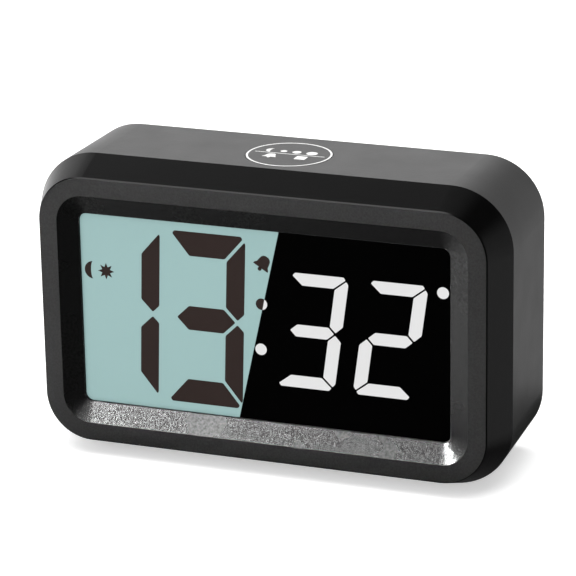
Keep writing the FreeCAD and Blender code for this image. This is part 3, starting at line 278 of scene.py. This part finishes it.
# Painted shade: near the clock, glossy rays see this dim glow in place of the floor's shadow.
painted_shade = node(tree, "Emission", Color=WHITE, Strength=PAINTED_SHADE_LEVEL)
mirror_floor = node(tree, "MixShader")
away = beyond(tree, FOOTPRINT_MIDDLE, FOOTPRINT_HALF, 0.0)
feed(tree, mirror_floor.inputs[0], ramp(tree, away, SHADE_START, SHADE_END, kind="SMOOTHSTEP"))
feed(tree, mirror_floor.inputs[1], painted_shade.outputs[0])
feed(tree, mirror_floor.inputs[2], node(tree, "BsdfTransparent").outputs[0])
whole_floor = node(tree, "MixShader")
feed(tree, whole_floor.inputs[0], mirrored_in(tree))
feed(tree, whole_floor.inputs[1], sheet.outputs[0])
feed(tree, whole_floor.inputs[2], mirror_floor.outputs[0])
feed(tree, tree.nodes["Material Output"].inputs["Surface"], whole_floor.outputs[0])
floor.data.materials.append(paper)
print("floor:", [round(size, 2) for size in floor.dimensions])

# %% [markdown]
# ## Finishes
# Almost all of the clock is moulded plastic. A mould leaves a fine grain, and the grain, not the colour,
# is what tells one black plastic from another: the face is sandy, the band round it is polished, the
# housing is satin. One helper builds such a plastic from a noise for the grain and a slower noise that
# varies colour and gloss a little, as real mouldings do.

# %% A helper for moulded finishes
def noise(tree, size, detail=2.0):
    """Noise in the object's own coordinates whose lumps are about this size in metres."""
    lumps = node(tree, "TexNoise", Scale=1.0 / size, Detail=detail)
    feed(tree, lumps.inputs["Vector"], node(tree, "TexCoord").outputs["Object"])
    return lumps.outputs["Fac"]


GLOSS_CHANGE = 0.05


def moulded(name, colour, roughness, grain=0.25 * MM, depth=0.01 * MM, change=0.15, specular=0.5):
    """Moulded plastic: grain as bumps, with slow changes of colour and gloss."""
    new, tree, shader = material(name)
    slow = noise(tree, 9 * MM)
    darker = [channel * (1 - change) for channel in colour]
    lighter = [channel * (1 + change) for channel in colour]
    feed(tree, shader.inputs["Base Color"], tint(tree, slow, darker, lighter))
    feed(tree, shader.inputs["Roughness"],
         ramp(tree, slow, 0.0, 1.0, roughness - GLOSS_CHANGE, roughness + GLOSS_CHANGE))
    feed(tree, shader.inputs["Specular IOR Level"], specular)
    bump = node(tree, "Bump", Distance=depth)
    feed(tree, bump.inputs["Height"], noise(tree, grain))
    feed(tree, shader.inputs["Normal"], bump.outputs["Normal"])
    return new


def finish_slot(slot, finish):
    """Give a finish to every solid whose record names this slot."""
    names = [part["node"] for part in frame["record"]["subparts"] if part["material_slot"] == slot]
    for name in names:
        solid = frame["nodes"][name]
        solid.data.materials.clear()
        solid.data.materials.append(finish)
    print(slot, "->", len(names), "solids")


# %% [markdown]
# ### Bezel
# The bezel is one moulding with three finishes: a flat sandy face, a polished band that flares out
# behind it, and a slope with a coarser sparkle that leads down to the display. Its wall round the
# display is blacked out: black plastic made darker and duller than the rest, as painted shade for the
# dark gap between the slope and the display. A real mould has a different texture etched into each of
# its faces. Here the distance from a rounded rectangle tells the shader where it is, because that
# follows the case's outline round the corners. On the slope the grain changes how much each spot
# reflects, and on the face it changes the tone, as etched grain does when it scatters the light.

# %% Measure the bezel's zones
bezel_low, bezel_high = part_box("front_bezel")
middle_z = (bezel_low.z + bezel_high.z) / 2
FRONT_MIDDLE = (0.0, 0.0, middle_z)
FACE_ZONE = ((61.2 * MM, 0.0, 36.6 * MM), 12.6 * MM)
SLOPE_ZONE = ((56.15 * MM, 0.0, 31.55 * MM), 7.55 * MM)
WINDOW_ZONE = ((50.9 * MM, 0.0, 26.3 * MM), 2.2 * MM)
EDGE_BLUR = 0.05 * MM
EDGE_BEVEL = 0.35 * MM


def outside(tree, zone, start=-EDGE_BLUR):
    """0 inside a zone of the front view and 1 outside it, with a narrow change between."""
    half, corner = zone
    return ramp(tree, beyond(tree, FRONT_MIDDLE, half, corner), start, start + 2 * EDGE_BLUR)


# %% Finish the bezel
bezel, tree, shader = material("bezel_plastic")
off_window = outside(tree, WINDOW_ZONE)
off_slope = outside(tree, SLOPE_ZONE)
off_face = outside(tree, FACE_ZONE, -EDGE_BEVEL)


def by_zone(wall, slope, face, band):
    """A value for each of the bezel's four zones."""
    inner = blend(tree, off_window, wall, slope)
    return blend(tree, off_face, blend(tree, off_slope, inner, face), band)


ZONE_ROUGHNESS = (0.9, 0.27, 0.37, 0.20)
ZONE_GRAIN = (0.0, 0.6, 1.0, 0.01)
# The wall's tone is darker than the band's and the slope's: painted shade for the gap at the display's
# edge.
WALL_SHADE_TONE, SLOPE_TONE, BAND_TONE = 0.0005, 0.0035, 0.001
GRAIN_DEPTH = 0.08 * MM
PLAIN_GLOSS = 0.5

slow = noise(tree, 12 * MM)
roughness = by_zone(*ZONE_ROUGHNESS)
uneven = ramp(tree, slow, 0.0, 1.0, 0.92, 1.08)
feed(tree, shader.inputs["Roughness"], sum_of(tree, "MULTIPLY", roughness, uneven))
coarse, fine = noise(tree, 0.65 * MM), noise(tree, 0.4 * MM)
sandy = ramp(tree, fine, 0.35, 0.65, 0.001, 0.012)
sparkle = ramp(tree, coarse, 0.30, 0.70, 0.30, 0.70)
feed(tree, shader.inputs["Specular IOR Level"], by_zone(PLAIN_GLOSS, sparkle, PLAIN_GLOSS, PLAIN_GLOSS))
grey = node(tree, "CombineColor")
for channel in ("Red", "Green", "Blue"):
    feed(tree, grey.inputs[channel], by_zone(WALL_SHADE_TONE, SLOPE_TONE, sandy, BAND_TONE))
feed(tree, shader.inputs["Base Color"], grey.outputs["Color"])
bump = node(tree, "Bump", Distance=GRAIN_DEPTH)
feed(tree, bump.inputs["Strength"], by_zone(*ZONE_GRAIN))
feed(tree, bump.inputs["Height"], blend(tree, 0.4, coarse, fine))
feed(tree, shader.inputs["Normal"], bump.outputs["Normal"])
finish_slot("bezel_plastic", bezel)

# %% [markdown]
# ### Housing, buttons, door and small mouldings
# The housing and the buttons share one satin grain. The door is a moulding of its own, a touch darker
# than the housing. Rubber is dull and coarse, the white inner mouldings are plain, and the resin poured
# over the chip has slow waves instead of a grain.

# %% Finish the other mouldings
CHARCOAL = (0.012, 0.0118, 0.0117)
MOULDINGS = {  # colour, roughness, size of the grain in mm, depth of the grain in mm
    "housing_plastic": (CHARCOAL, 0.35, 0.45, 0.05),
    "button_plastic": (CHARCOAL, 0.35, 0.45, 0.05),
    "slider_plastic": ((0.010, 0.010, 0.010), 0.36, 0.25, 0.006),
    "door_plastic": ((0.011, 0.0108, 0.0107), 0.37, 0.45, 0.05),
    "foot_rubber": ((0.016, 0.016, 0.016), 0.75, 0.20, 0.010),
    "silicone_rubber": ((0.55, 0.56, 0.56), 0.55, 0.30, 0.004),
    "frame_plastic": ((0.70, 0.70, 0.68), 0.42, 0.25, 0.004),
    "socket_plastic": ((0.62, 0.58, 0.48), 0.40, 0.25, 0.004),
    "lamp_resin": ((0.80, 0.74, 0.38), 0.30, 0.30, 0.002),
    "sealing_resin": ((0.010, 0.010, 0.011), 0.28, 1.20, 0.020),
    "cable_film": ((0.55, 0.53, 0.48), 0.35, 0.60, 0.004)}
for slot, (colour, roughness, grain, depth) in MOULDINGS.items():
    finish_slot(slot, moulded(slot, colour, roughness, grain * MM, depth * MM))

# %% [markdown]
# ### Metal
# Screws, contacts and the crystal's can are plated steel. Fine drawn lines run along them, so the noise
# is stretched along one axis with a Mapping node before it makes the bumps and the gloss.

# %% Finish the metal pieces
def plated(name, colour, roughness, stretch):
    """Plated metal with fine lines, stretched by three factors along X, Y and Z."""
    new, tree, shader = material(name)
    mapping = node(tree, "Mapping", Scale=stretch)
    feed(tree, mapping.inputs["Vector"], node(tree, "TexCoord").outputs["Object"])
    lines = node(tree, "TexNoise", Scale=1.0 / (0.4 * MM), Detail=3.0)
    feed(tree, lines.inputs["Vector"], mapping.outputs["Vector"])
    feed(tree, shader.inputs["Metallic"], 1.0)
    feed(tree, shader.inputs["Base Color"], (*colour, 1.0))
    feed(tree, shader.inputs["Roughness"],
         ramp(tree, lines.outputs["Fac"], 0.0, 1.0, roughness - 0.1, roughness + 0.1))
    bump = node(tree, "Bump", Distance=0.004 * MM)
    feed(tree, bump.inputs["Height"], lines.outputs["Fac"])
    feed(tree, shader.inputs["Normal"], bump.outputs["Normal"])
    return new


finish_slot("screw_steel", plated("screw_steel", (0.42, 0.42, 0.43), 0.32, (1.0, 0.2, 1.0)))
finish_slot("contact_metal", plated("contact_metal", (0.72, 0.70, 0.66), 0.26, (1.0, 1.0, 0.15)))
finish_slot("crystal_can", plated("crystal_can", (0.66, 0.67, 0.69), 0.24, (1.0, 1.0, 0.15)))

# %% [markdown]
# ### Boards
# A board is glass cloth in green resin. Two crossed waves give the weave that shows faintly through
# the varnish.

# %% Finish the boards
laminate, tree, shader = material("board_laminate")
threads = []
for bands in ("X", "Z"):
    thread = node(tree, "TexWave", Scale=1.0 / (4 * MM), Distortion=0.4, bands_direction=bands)
    feed(tree, thread.inputs["Vector"], node(tree, "TexCoord").outputs["Object"])
    threads.append(thread.outputs["Fac"])
weave = sum_of(tree, "MULTIPLY", *threads)
feed(tree, shader.inputs["Base Color"], tint(tree, weave, (0.010, 0.075, 0.028), (0.018, 0.120, 0.045)))
feed(tree, shader.inputs["Roughness"], 0.3)
finish_slot("board_laminate", laminate)

# %% [markdown]
# ### Cells
# Each cell has a printed sleeve: a light band at its positive end and a dark body. The shader reads
# how far along the cell a point lies. Every second cell lies the other way round in the bay, so
# between the heights of the middle cell the sign of that distance is turned.

# %% Finish the cells
sleeve, tree, shader = material("cell_sleeve")
apart = node(tree, "SeparateXYZ")
feed(tree, apart.inputs[0], node(tree, "TexCoord").outputs["Object"])
cell_low, cell_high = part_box("cell_2")
above = sum_of(tree, "GREATER_THAN", apart.outputs["Z"], cell_low.z)
below = sum_of(tree, "LESS_THAN", apart.outputs["Z"], cell_high.z)
way = ramp(tree, sum_of(tree, "MULTIPLY", above, below), 0.0, 1.0, -1.0, 1.0)
along = sum_of(tree, "MULTIPLY", way, apart.outputs["X"])
band = ramp(tree, along, 10.0 * MM, 10.1 * MM)
cap = ramp(tree, along, 20.6 * MM, 20.7 * MM)
sleeve_print = tint(tree, band, (0.02, 0.02, 0.022), (0.62, 0.40, 0.13))
steel_cap = node(tree, "Mix", data_type="RGBA")
feed(tree, steel_cap.inputs["Factor"], cap)
feed(tree, steel_cap.inputs[6], sleeve_print)
feed(tree, steel_cap.inputs[7], (0.70, 0.70, 0.70, 1.0))
feed(tree, shader.inputs["Base Color"], steel_cap.outputs[2])
feed(tree, shader.inputs["Metallic"], blend(tree, cap, 0.25, 1.0))
feed(tree, shader.inputs["Roughness"], 0.28)
finish_slot("cell_sleeve", sleeve)

# %% [markdown]
# ### Display
# The display is a sandwich of glass, polarisers and a light guide. Its front sheet is two polarisers
# side by side. Behind the left one liquid crystal figures come out dark on pale blue-green, and behind
# the right one light on black. Only this front sheet is seen, so it carries the colours. The glass,
# the films and the light guide behind it have finishes of their own. The lit sheet takes part of its
# colour from the lamps and gives off the rest, as a backlit display does.

# %% Finish the display sheets
POOL = (0.342, 0.515, 0.508)


def lit(name, colour, share, strength, roughness):
    """A backlit sheet: a share of its colour is paint, and the rest it gives off unevenly."""
    new, tree, shader = material(name)
    feed(tree, shader.inputs["Base Color"], (*[channel * share for channel in colour], 1.0))
    feed(tree, shader.inputs["Roughness"], roughness)
    feed(tree, shader.inputs["Specular IOR Level"], 0.1)
    darker = [channel * 0.97 for channel in colour]
    lighter = [min(channel * 1.03, 1.0) for channel in colour]
    feed(tree, shader.inputs["Emission Color"], tint(tree, noise(tree, 25 * MM), darker, lighter))
    feed(tree, shader.inputs["Emission Strength"], strength)
    return new


finish_slot("polariser_light", lit("polariser_light", POOL, 0.5, 0.445, 0.35))
dark_sheet = moulded("polariser_dark", (0.0003, 0.0003, 0.0003), 0.30, 4 * MM, 0.0, 0.2, 0.01)
finish_slot("polariser_dark", dark_sheet)
finish_slot("film", moulded("film", (0.75, 0.76, 0.78), 0.20, 2 * MM, 0.001 * MM))


def see_through(name, colour, roughness):
    """Clear glass or acrylic with a slight tint and a faint unevenness."""
    new, tree, shader = material(name)
    feed(tree, shader.inputs["Base Color"], (*colour, 1.0))
    feed(tree, shader.inputs["Transmission Weight"], 1.0)
    feed(tree, shader.inputs["IOR"], 1.49)
    unevenness = noise(tree, 6 * MM)
    feed(tree, shader.inputs["Roughness"], ramp(tree, unevenness, 0.0, 1.0, roughness, roughness + 0.03))
    return new


finish_slot("display_glass", see_through("display_glass", (0.93, 0.97, 0.95), 0.01))
finish_slot("clear_acrylic", see_through("clear_acrylic", (0.96, 0.97, 0.98), 0.05))

# %% [markdown]
# ## Figures
# A figure is made of up to seven bars. On the real display each bar is an electrode etched into the
# glass, cut at a slant where it meets its neighbours, and the figure's outer corners are cut off. A bar
# starts as a plane of the bar's size. The bisect tool cuts its ends along the joint lines, a small bevel
# softens its corners, and a solidify modifier gives it the thickness of ink. Only an end bar, a side
# bar and the middle bar are modelled: the others are mirrored copies. Every flat piece is drawn lying
# down, with its top towards +Y, and is stood up when it is put in its place.

# %% Make the three bars
INK = 0.02 * MM


def active_piece(name):
    """Name the object that an operator has just made."""
    made = bpy.context.active_object
    made.name = name
    return made


def edit_only(made):
    """Open one piece in edit mode, with no other piece open beside it."""
    bpy.ops.object.select_all(action="DESELECT")
    made.select_set(True)
    bpy.context.view_layer.objects.active = made
    bpy.ops.object.mode_set(mode="EDIT")


def cut(made, lines):
    """Cut a flat piece along lines, each given by a point and the direction that falls away."""
    edit_only(made)
    for point, falling in lines:
        bpy.ops.mesh.select_all(action="SELECT")
        bpy.ops.mesh.bisect(plane_co=(*point, 0.0), plane_no=(*falling.normalized(), 0.0),
                            clear_outer=True)
    bpy.ops.object.mode_set(mode="OBJECT")


def soften(made, radius, steps=3):
    """Round the corners of a flat piece."""
    edit_only(made)
    bpy.ops.mesh.select_all(action="SELECT")
    bpy.ops.mesh.bevel(offset=radius, segments=steps, affect="VERTICES")
    bpy.ops.object.mode_set(mode="OBJECT")


def strip(name, left, right, low, high):
    """A flat rectangle between four edges."""
    bpy.ops.object.select_all(action="DESELECT")
    bpy.ops.mesh.primitive_plane_add(size=1.0, location=((left + right) / 2, (low + high) / 2, 0.0))
    made = active_piece(name)
    bpy.ops.transform.resize(value=(right - left, high - low, 1.0))
    bpy.ops.object.transform_apply(location=True, rotation=True, scale=True)
    return made


def bar(name, left, right, low, high, lines, soft):
    """A flat bar with its ends cut along lines and its corners rounded."""
    made = strip(name, left, right, low, high)
    cut(made, lines)
    soften(made, soft)
    return made


def three_bars(width, height, thick, inset, drop, chamfer, gap, soft):
    """The top bar, the upper right bar and the middle bar of a figure of this size.

    thick is how thick a level and an upright bar are. inset is how far the tip of an upright bar lies
    inside the figure's edge, and drop how far the joint of two bars meets that edge below its corner.
    chamfer is how much of the corner is cut off, across and up.
    """
    x, y = width / 2, height / 2
    level, upright = thick
    half = gap / 2
    joint, corner_joint = Vector((x - inset, 0.0)), Vector((x, y - drop))
    slant = Vector((level - drop, -upright)).normalized()
    knee = Vector((level / 2, upright - inset)).normalized()
    heel = Vector((1.0, -1.0)).normalized()
    corner = (Vector((x - chamfer[0], y)), Vector((chamfer[1], chamfer[0])))
    mitre = (corner_joint - slant * half, slant)
    above_knee = (joint - knee * half, knee)
    low_knee = Vector((knee.x, -knee.y))
    below_knee = (joint - low_knee * half, low_knee)

    def other_side(line):
        """The same cut at the other end of a level bar."""
        return tuple(Vector((-part.x, part.y)) for part in line)

    top = bar("top_bar", -x, x, y - level, y,
              [mitre, other_side(mitre), corner, other_side(corner)], soft)
    side = bar("side_bar", x - upright, x, 0.0, y,
               [(corner_joint + slant * half, -slant), corner, (joint - heel * half, heel),
                (joint + knee * half, -knee)], soft)
    middle = bar("middle_bar", -x, x, -level / 2, level / 2,
                 [above_knee, below_knee, other_side(above_knee), other_side(below_knee)], soft)
    return {"top": top, "side": side, "middle": middle}


# %% [markdown]
# A flat mark goes onto one of three surfaces: the display, the top button or the rear wall. Each is a
# matrix that stands the drawing up and turns it to face outwards. On the rear, right and left change
# places, because it is read from behind. The top of the case falls a little towards the rear, and so
# does the button in it. The mark then gets the thickness of its ink by a solidify modifier, its finish,
# and the body that it moves with.

# %% Lay marks on the clock
display_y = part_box("polariser_left")[0].y
snooze_low, snooze_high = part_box("snooze_button")
snooze_y = (snooze_low.y + snooze_high.y) / 2
TOP_TILT = -math.atan(0.0205)
SNOOZE_TOP = 81.033 * MM
rear_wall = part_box("battery_door")[1].y
UPRIGHT = Matrix.Rotation(math.radians(90), 4, "X")
ON_DISPLAY = Matrix.Translation((0.0, display_y, middle_z)) @ UPRIGHT
ON_SNOOZE = Matrix.Translation((0.0, snooze_y, SNOOZE_TOP)) @ Matrix.Rotation(TOP_TILT, 4, "X")
ON_REAR = Matrix.Translation((0.0, rear_wall, 0.0)) @ Matrix.Rotation(math.pi, 4, "Z") @ UPRIGHT


def joined(name, pieces):
    """Several pieces as one."""
    bpy.ops.object.select_all(action="DESELECT")
    for piece in pieces:
        piece.select_set(True)
    bpy.context.view_layer.objects.active = pieces[0]
    bpy.ops.object.join()
    return active_piece(name)


def copy_of(made, name):
    """A copy with a mesh of its own."""
    copy = made.copy()
    copy.data = made.data.copy()
    copy.name = name
    scene.collection.objects.link(copy)
    return copy


def facing_up(made):
    """Turn every face of a flat drawing upwards."""
    edit_only(made)
    bpy.ops.mesh.select_mode(type="FACE")
    bpy.ops.mesh.select_all(action="DESELECT")
    bpy.ops.object.mode_set(mode="OBJECT")
    for face in made.data.polygons:
        face.select = face.normal.z < 0
    bpy.ops.object.mode_set(mode="EDIT")
    bpy.ops.mesh.flip_normals()
    bpy.ops.object.mode_set(mode="OBJECT")


def lay(made, surface, right, up, finish, body="case", slot="film", lean=0.0):
    """Lay a flat drawing on a surface, give it the thickness of ink and its finish."""
    facing_up(made)
    leaned = Matrix(((1, math.tan(lean), 0, right), (0, 1, 0, up), (0, 0, 1, 0), (0, 0, 0, 1)))
    made.data.transform(surface @ leaned)
    solid = made.modifiers.new("ink", "SOLIDIFY")
    solid.thickness = INK
    solid.offset = 1.0
    bpy.context.view_layer.objects.active = made
    bpy.ops.object.modifier_apply(modifier=solid.name)
    made.data.materials.clear()
    made.data.materials.append(finish)
    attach(made, body)
    return made


# %% [markdown]
# Which bars make up a figure is the same on every such display. Each bar is a mirrored copy of one of
# the three, so a figure is a list of bars with two signs each. The lean of the figures is a shear: the
# higher a point, the further it moves to the right.

# %% Put the figures together
BARS = {"top": ("top", 1, 1), "bottom": ("top", 1, -1), "middle": ("middle", 1, 1),
        "upper_right": ("side", 1, 1), "lower_right": ("side", 1, -1),
        "upper_left": ("side", -1, 1), "lower_left": ("side", -1, -1)}
FIGURES = {1: ["upper_right", "lower_right"],
           2: ["top", "upper_right", "middle", "lower_left", "bottom"],
           3: ["top", "upper_right", "middle", "lower_right", "bottom"]}
dark_print = moulded("dark_figure", (0.030, 0.021, 0.019), 0.5, 4 * MM, 0.0, 0.05, 0.02)
light_print = lit("light_figure", (1.0, 1.0, 1.0), 0.02, 0.77, 0.4)


def figure(name, number, bars, middle, lean, finish, slot):
    """One figure on the display: copies of its bars, joined, leaned and set in place."""
    copies = []
    for key in FIGURES[number]:
        source, across, up = BARS[key]
        copy = copy_of(bars[source], key)
        copy.data.transform(Matrix.Diagonal((across, up, 1.0, 1.0)))
        copies.append(copy)
    lay(joined(name, copies), ON_DISPLAY, *middle, finish, slot=slot, lean=lean)


large = three_bars(width=21.1 * MM, height=47.4 * MM, thick=(6.6 * MM, 5.1 * MM), inset=1.8 * MM,
                   drop=0.5 * MM, chamfer=(1.3 * MM, 2.0 * MM), gap=0.85 * MM, soft=0.35 * MM)
HOUR_LEAN = math.radians(2.2)
figure("hour_tens", 1, large, (-39.65 * MM, 0.0), HOUR_LEAN, dark_print, "polariser_dark")
figure("hour_ones", 3, large, (-15.9 * MM, 0.0), HOUR_LEAN, dark_print, "polariser_dark")
small = three_bars(width=16.2 * MM, height=31.4 * MM, thick=(3.3 * MM, 3.5 * MM), inset=1.75 * MM,
                   drop=0.25 * MM, chamfer=(1.5 * MM, 2.0 * MM), gap=0.5 * MM, soft=0.25 * MM)
MINUTE_LEAN = math.radians(8.0)
figure("minute_tens", 3, small, (13.35 * MM, -0.2 * MM), MINUTE_LEAN, light_print, "film")
figure("minute_ones", 2, small, (34.55 * MM, -0.2 * MM), MINUTE_LEAN, light_print, "film")
for template in [*large.values(), *small.values()]:
    bpy.data.objects.remove(template)

# %% [markdown]
# ## Signs
# Small signs say what each button and each corner of the display is for. They are plain shapes that
# need no words: a crescent for the night, a sun for the day and for the lamp, a bell for the alarm, a
# dial for the time, arrows for up and down. Each starts as a circle or a grid and is shaped by moving
# some of its points: half of a circle folded back on itself is a crescent, and a circle with every
# second point drawn in is a sun.

# %% Draw the signs
def disc(name, radius, corners=40):
    """A flat disc round the origin."""
    bpy.ops.object.select_all(action="DESELECT")
    bpy.ops.mesh.primitive_circle_add(vertices=corners, radius=radius, fill_type="NGON")
    return active_piece(name)


def pick(made, wanted):
    """Go into edit mode with only the points selected that a test wants."""
    edit_only(made)
    bpy.ops.mesh.select_mode(type="VERT")
    bpy.ops.mesh.select_all(action="DESELECT")
    bpy.ops.object.mode_set(mode="OBJECT")
    for point in made.data.vertices:
        point.select = bool(wanted(point))
    bpy.ops.object.mode_set(mode="EDIT")


def scale_points(made, wanted, factors):
    """Scale the wanted points about the origin."""
    pick(made, wanted)
    bpy.ops.transform.resize(value=factors, center_override=(0.0, 0.0, 0.0))
    bpy.ops.object.mode_set(mode="OBJECT")


def ring(name, radius, width, corners=96):
    """A flat ring with a line of this width: a disc, inset, with its middle taken out."""
    made = disc(name, radius, corners)
    edit_only(made)
    bpy.ops.mesh.select_all(action="SELECT")
    bpy.ops.mesh.inset(thickness=width)
    bpy.ops.mesh.delete(type="FACE")
    bpy.ops.object.mode_set(mode="OBJECT")
    return made


MOON_HOLLOW = 0.25
SUN_HEART = 0.52


def crescent(name, radius):
    """A crescent moon: the right half of a disc folded back, flatter than it was."""
    made = disc(name, radius)
    scale_points(made, lambda point: point.co.x > 0.01 * radius, (-MOON_HOLLOW, 1.0, 1.0))
    return made


def sun(name, radius):
    """A sun with eight points: every second point of a circle drawn in."""
    made = disc(name, radius, corners=16)
    scale_points(made, lambda point: point.index % 2, (SUN_HEART, SUN_HEART, 1.0))
    return made


def arrow(name, radius, up):
    """A triangle that points up or down, with rounded corners."""
    made = disc(name, radius, corners=3)
    soften(made, 0.12 * radius)
    if not up:
        made.data.transform(Matrix.Rotation(math.pi, 4, "Z"))
    return made


def silhouette(name, rows):
    """An upright shape given by half widths at heights: the rows of a grid, widened one by one."""
    bpy.ops.object.select_all(action="DESELECT")
    bpy.ops.mesh.primitive_grid_add(x_subdivisions=1, y_subdivisions=len(rows) - 1, size=2.0)
    made = active_piece(name)
    levels = sorted({round(point.co.y, 6) for point in made.data.vertices})
    row_of = [levels.index(round(point.co.y, 6)) for point in made.data.vertices]
    for row, (half_width, height) in enumerate(rows):
        pick(made, lambda point: row_of[point.index] == row)
        bpy.ops.transform.resize(value=(half_width, 1.0, 1.0), center_override=(0.0, 0.0, 0.0))
        bpy.ops.transform.translate(value=(0.0, height - levels[row], 0.0))
        bpy.ops.object.mode_set(mode="OBJECT")
    return made


BELL_ROWS = [(0.50, -0.34), (0.48, -0.24), (0.37, -0.10), (0.34, 0.10), (0.30, 0.27), (0.22, 0.38),
             (0.10, 0.44)]


def bell(name, size):
    """A bell with its clapper, upright."""
    made = silhouette("bell_body", [(width * size, height * size) for width, height in BELL_ROWS])
    clapper = disc("clapper", 0.12 * size, corners=16)
    clapper.data.transform(Matrix.Translation((0.0, -0.42 * size, 0.0)))
    return joined(name, [made, clapper])


def dial(name, radius):
    """A small dial with two hands."""
    line = 0.2 * radius
    upright_hand = strip("hand", -line / 2, line / 2, 0.0, 0.62 * radius)
    level_hand = strip("hand", 0.0, 0.5 * radius, -line / 2, line / 2)
    return joined(name, [ring("rim", radius, line, corners=32), upright_hand, level_hand])


# %% [markdown]
# On the display, two dots part the hours from the minutes. The upper one lies across the slanting
# line where the two polarisers meet, so it shows dark on the left of the line and light on the right.
# The disc is copied, and each copy is cut along the line. A third dot at the far right tells that the
# alarm repeats. All places are measured from the middle of the display, to the right and up.

# %% Set the dots and signs of the display
DOT_RADIUS = 1.57 * MM
SPLIT_TOP, SPLIT_FOOT = Vector((4.64, 26.0)) * MM, Vector((-7.2, -26.4)) * MM
split = SPLIT_TOP - SPLIT_FOOT
split_side = Vector((split.y, -split.x)).normalized()
upper_dot = Vector((-0.42, 5.93)) * MM
across = SPLIT_TOP - upper_dot
whole_dot = disc("whole_dot", DOT_RADIUS)
dark_dot, light_dot = copy_of(whole_dot, "upper_dot_dark"), copy_of(whole_dot, "upper_dot_light")
cut(dark_dot, [(across, split_side)])
cut(light_dot, [(across, -split_side)])
lay(dark_dot, ON_DISPLAY, *upper_dot, dark_print, slot="polariser_dark")
lay(light_dot, ON_DISPLAY, *upper_dot, light_print)
lay(copy_of(whole_dot, "lower_dot"), ON_DISPLAY, -0.78 * MM, -6.5 * MM, light_print)
lay(copy_of(whole_dot, "repeat_dot"), ON_DISPLAY, 48.65 * MM, 14.1 * MM, light_print)
bpy.data.objects.remove(whole_dot)

BELL_TILT = math.radians(-32)
DAY_SIGNS_UP = 10.5 * MM
alarm_sign = bell("alarm_sign", 4.6 * MM)
alarm_sign.data.transform(Matrix.Rotation(BELL_TILT, 4, "Z"))
night_sign, day_sign = crescent("night_sign", 2.4 * MM), sun("day_sign", 2.3 * MM)
for sign, right, up in ((alarm_sign, 0.3 * MM, 17.2 * MM), (night_sign, -47.5 * MM, DAY_SIGNS_UP),
                        (day_sign, -43.8 * MM, DAY_SIGNS_UP)):
    lay(sign, ON_DISPLAY, right, up, dark_print, slot="polariser_dark")

# %% [markdown]
# The top button carries a white ring and two short rows of signs: above, a moon and three dots for
# sleeping on a little; below, a bell and a square for stopping the alarm. The print lies on the
# button's slightly sloping top and moves with the button.

# %% Print the top button
WHITE_INK = moulded("white_ink", (0.82, 0.82, 0.81), 0.45, 0.4 * MM, 0.004 * MM, 0.04)
PRINT_SLOT = "frame_plastic"


def print_on_snooze(made, right, back):
    """White print on the top button, placed from the button's middle."""
    return lay(made, ON_SNOOZE, right, back, WHITE_INK, "snooze", PRINT_SLOT)


print_on_snooze(ring("snooze_ring", 11.3 * MM, 0.55 * MM), 0.0, 0.0)
ROW_UP, ROW_DOWN = 2.6 * MM, -2.2 * MM
print_on_snooze(strip("snooze_line", -9.6 * MM, 9.6 * MM, 0.0, 0.35 * MM), 0.0, 0.2 * MM)
print_on_snooze(crescent("snooze_moon", 1.7 * MM), -5.6 * MM, ROW_UP)
for number, (right, radius) in enumerate([(-2.4, 0.9), (1.2, 1.2), (5.4, 1.5)]):
    print_on_snooze(disc(f"snooze_dot_{number + 1}", radius * MM, corners=32), right * MM, ROW_UP)
print_on_snooze(bell("snooze_bell", 3.8 * MM), -4.4 * MM, ROW_DOWN)
stop_square = strip("snooze_stop", -1.5 * MM, 1.5 * MM, -1.5 * MM, 1.5 * MM)
soften(stop_square, 0.25 * MM)
print_on_snooze(stop_square, 4.0 * MM, ROW_DOWN)
ring_points = bpy.data.objects["snooze_ring"].data.vertices
print("top of the ring in mm:", round(max(point.co.z for point in ring_points) / MM, 3))

# %% [markdown]
# On the rear wall each key has its sign above it, and the alarm switch has a bell at one end of its
# slot and a ring at the other.

# %% Print the rear wall
GREY_INK = moulded("grey_ink", (0.50, 0.50, 0.49), 0.45, 0.4 * MM, 0.004 * MM, 0.04)


def print_on_rear(made, x, z):
    """Grey print on the rear wall at a place in the clock's coordinates."""
    return lay(made, ON_REAR, -x, z, GREY_INK, "case", PRINT_SLOT)


SIGN_Z = 67.6 * MM
KEY_SIGNS = {"time": dial("time_sign", 1.7 * MM),
             "alarm": bell("alarm_key_sign", 3.4 * MM),
             "up": arrow("up_sign", 1.7 * MM, up=True),
             "down": arrow("down_sign", 1.7 * MM, up=False),
             "light": sun("light_sign", 1.9 * MM)}
for key, sign in KEY_SIGNS.items():
    key_low, key_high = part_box("button_" + key)
    print_on_rear(sign, (key_low.x + key_high.x) / 2, SIGN_Z)
slider_low, slider_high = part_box("alarm_slider")
switch_sign_z = (slider_low.z + slider_high.z) / 2 + 5.5 * MM
SWITCH_ON_X, SWITCH_OFF_X = 46.5 * MM, 40.5 * MM
print_on_rear(bell("switch_on_sign", 3.2 * MM), SWITCH_ON_X, switch_sign_z)
print_on_rear(ring("switch_off_sign", 1.2 * MM, 0.35 * MM, corners=32), SWITCH_OFF_X, switch_sign_z)
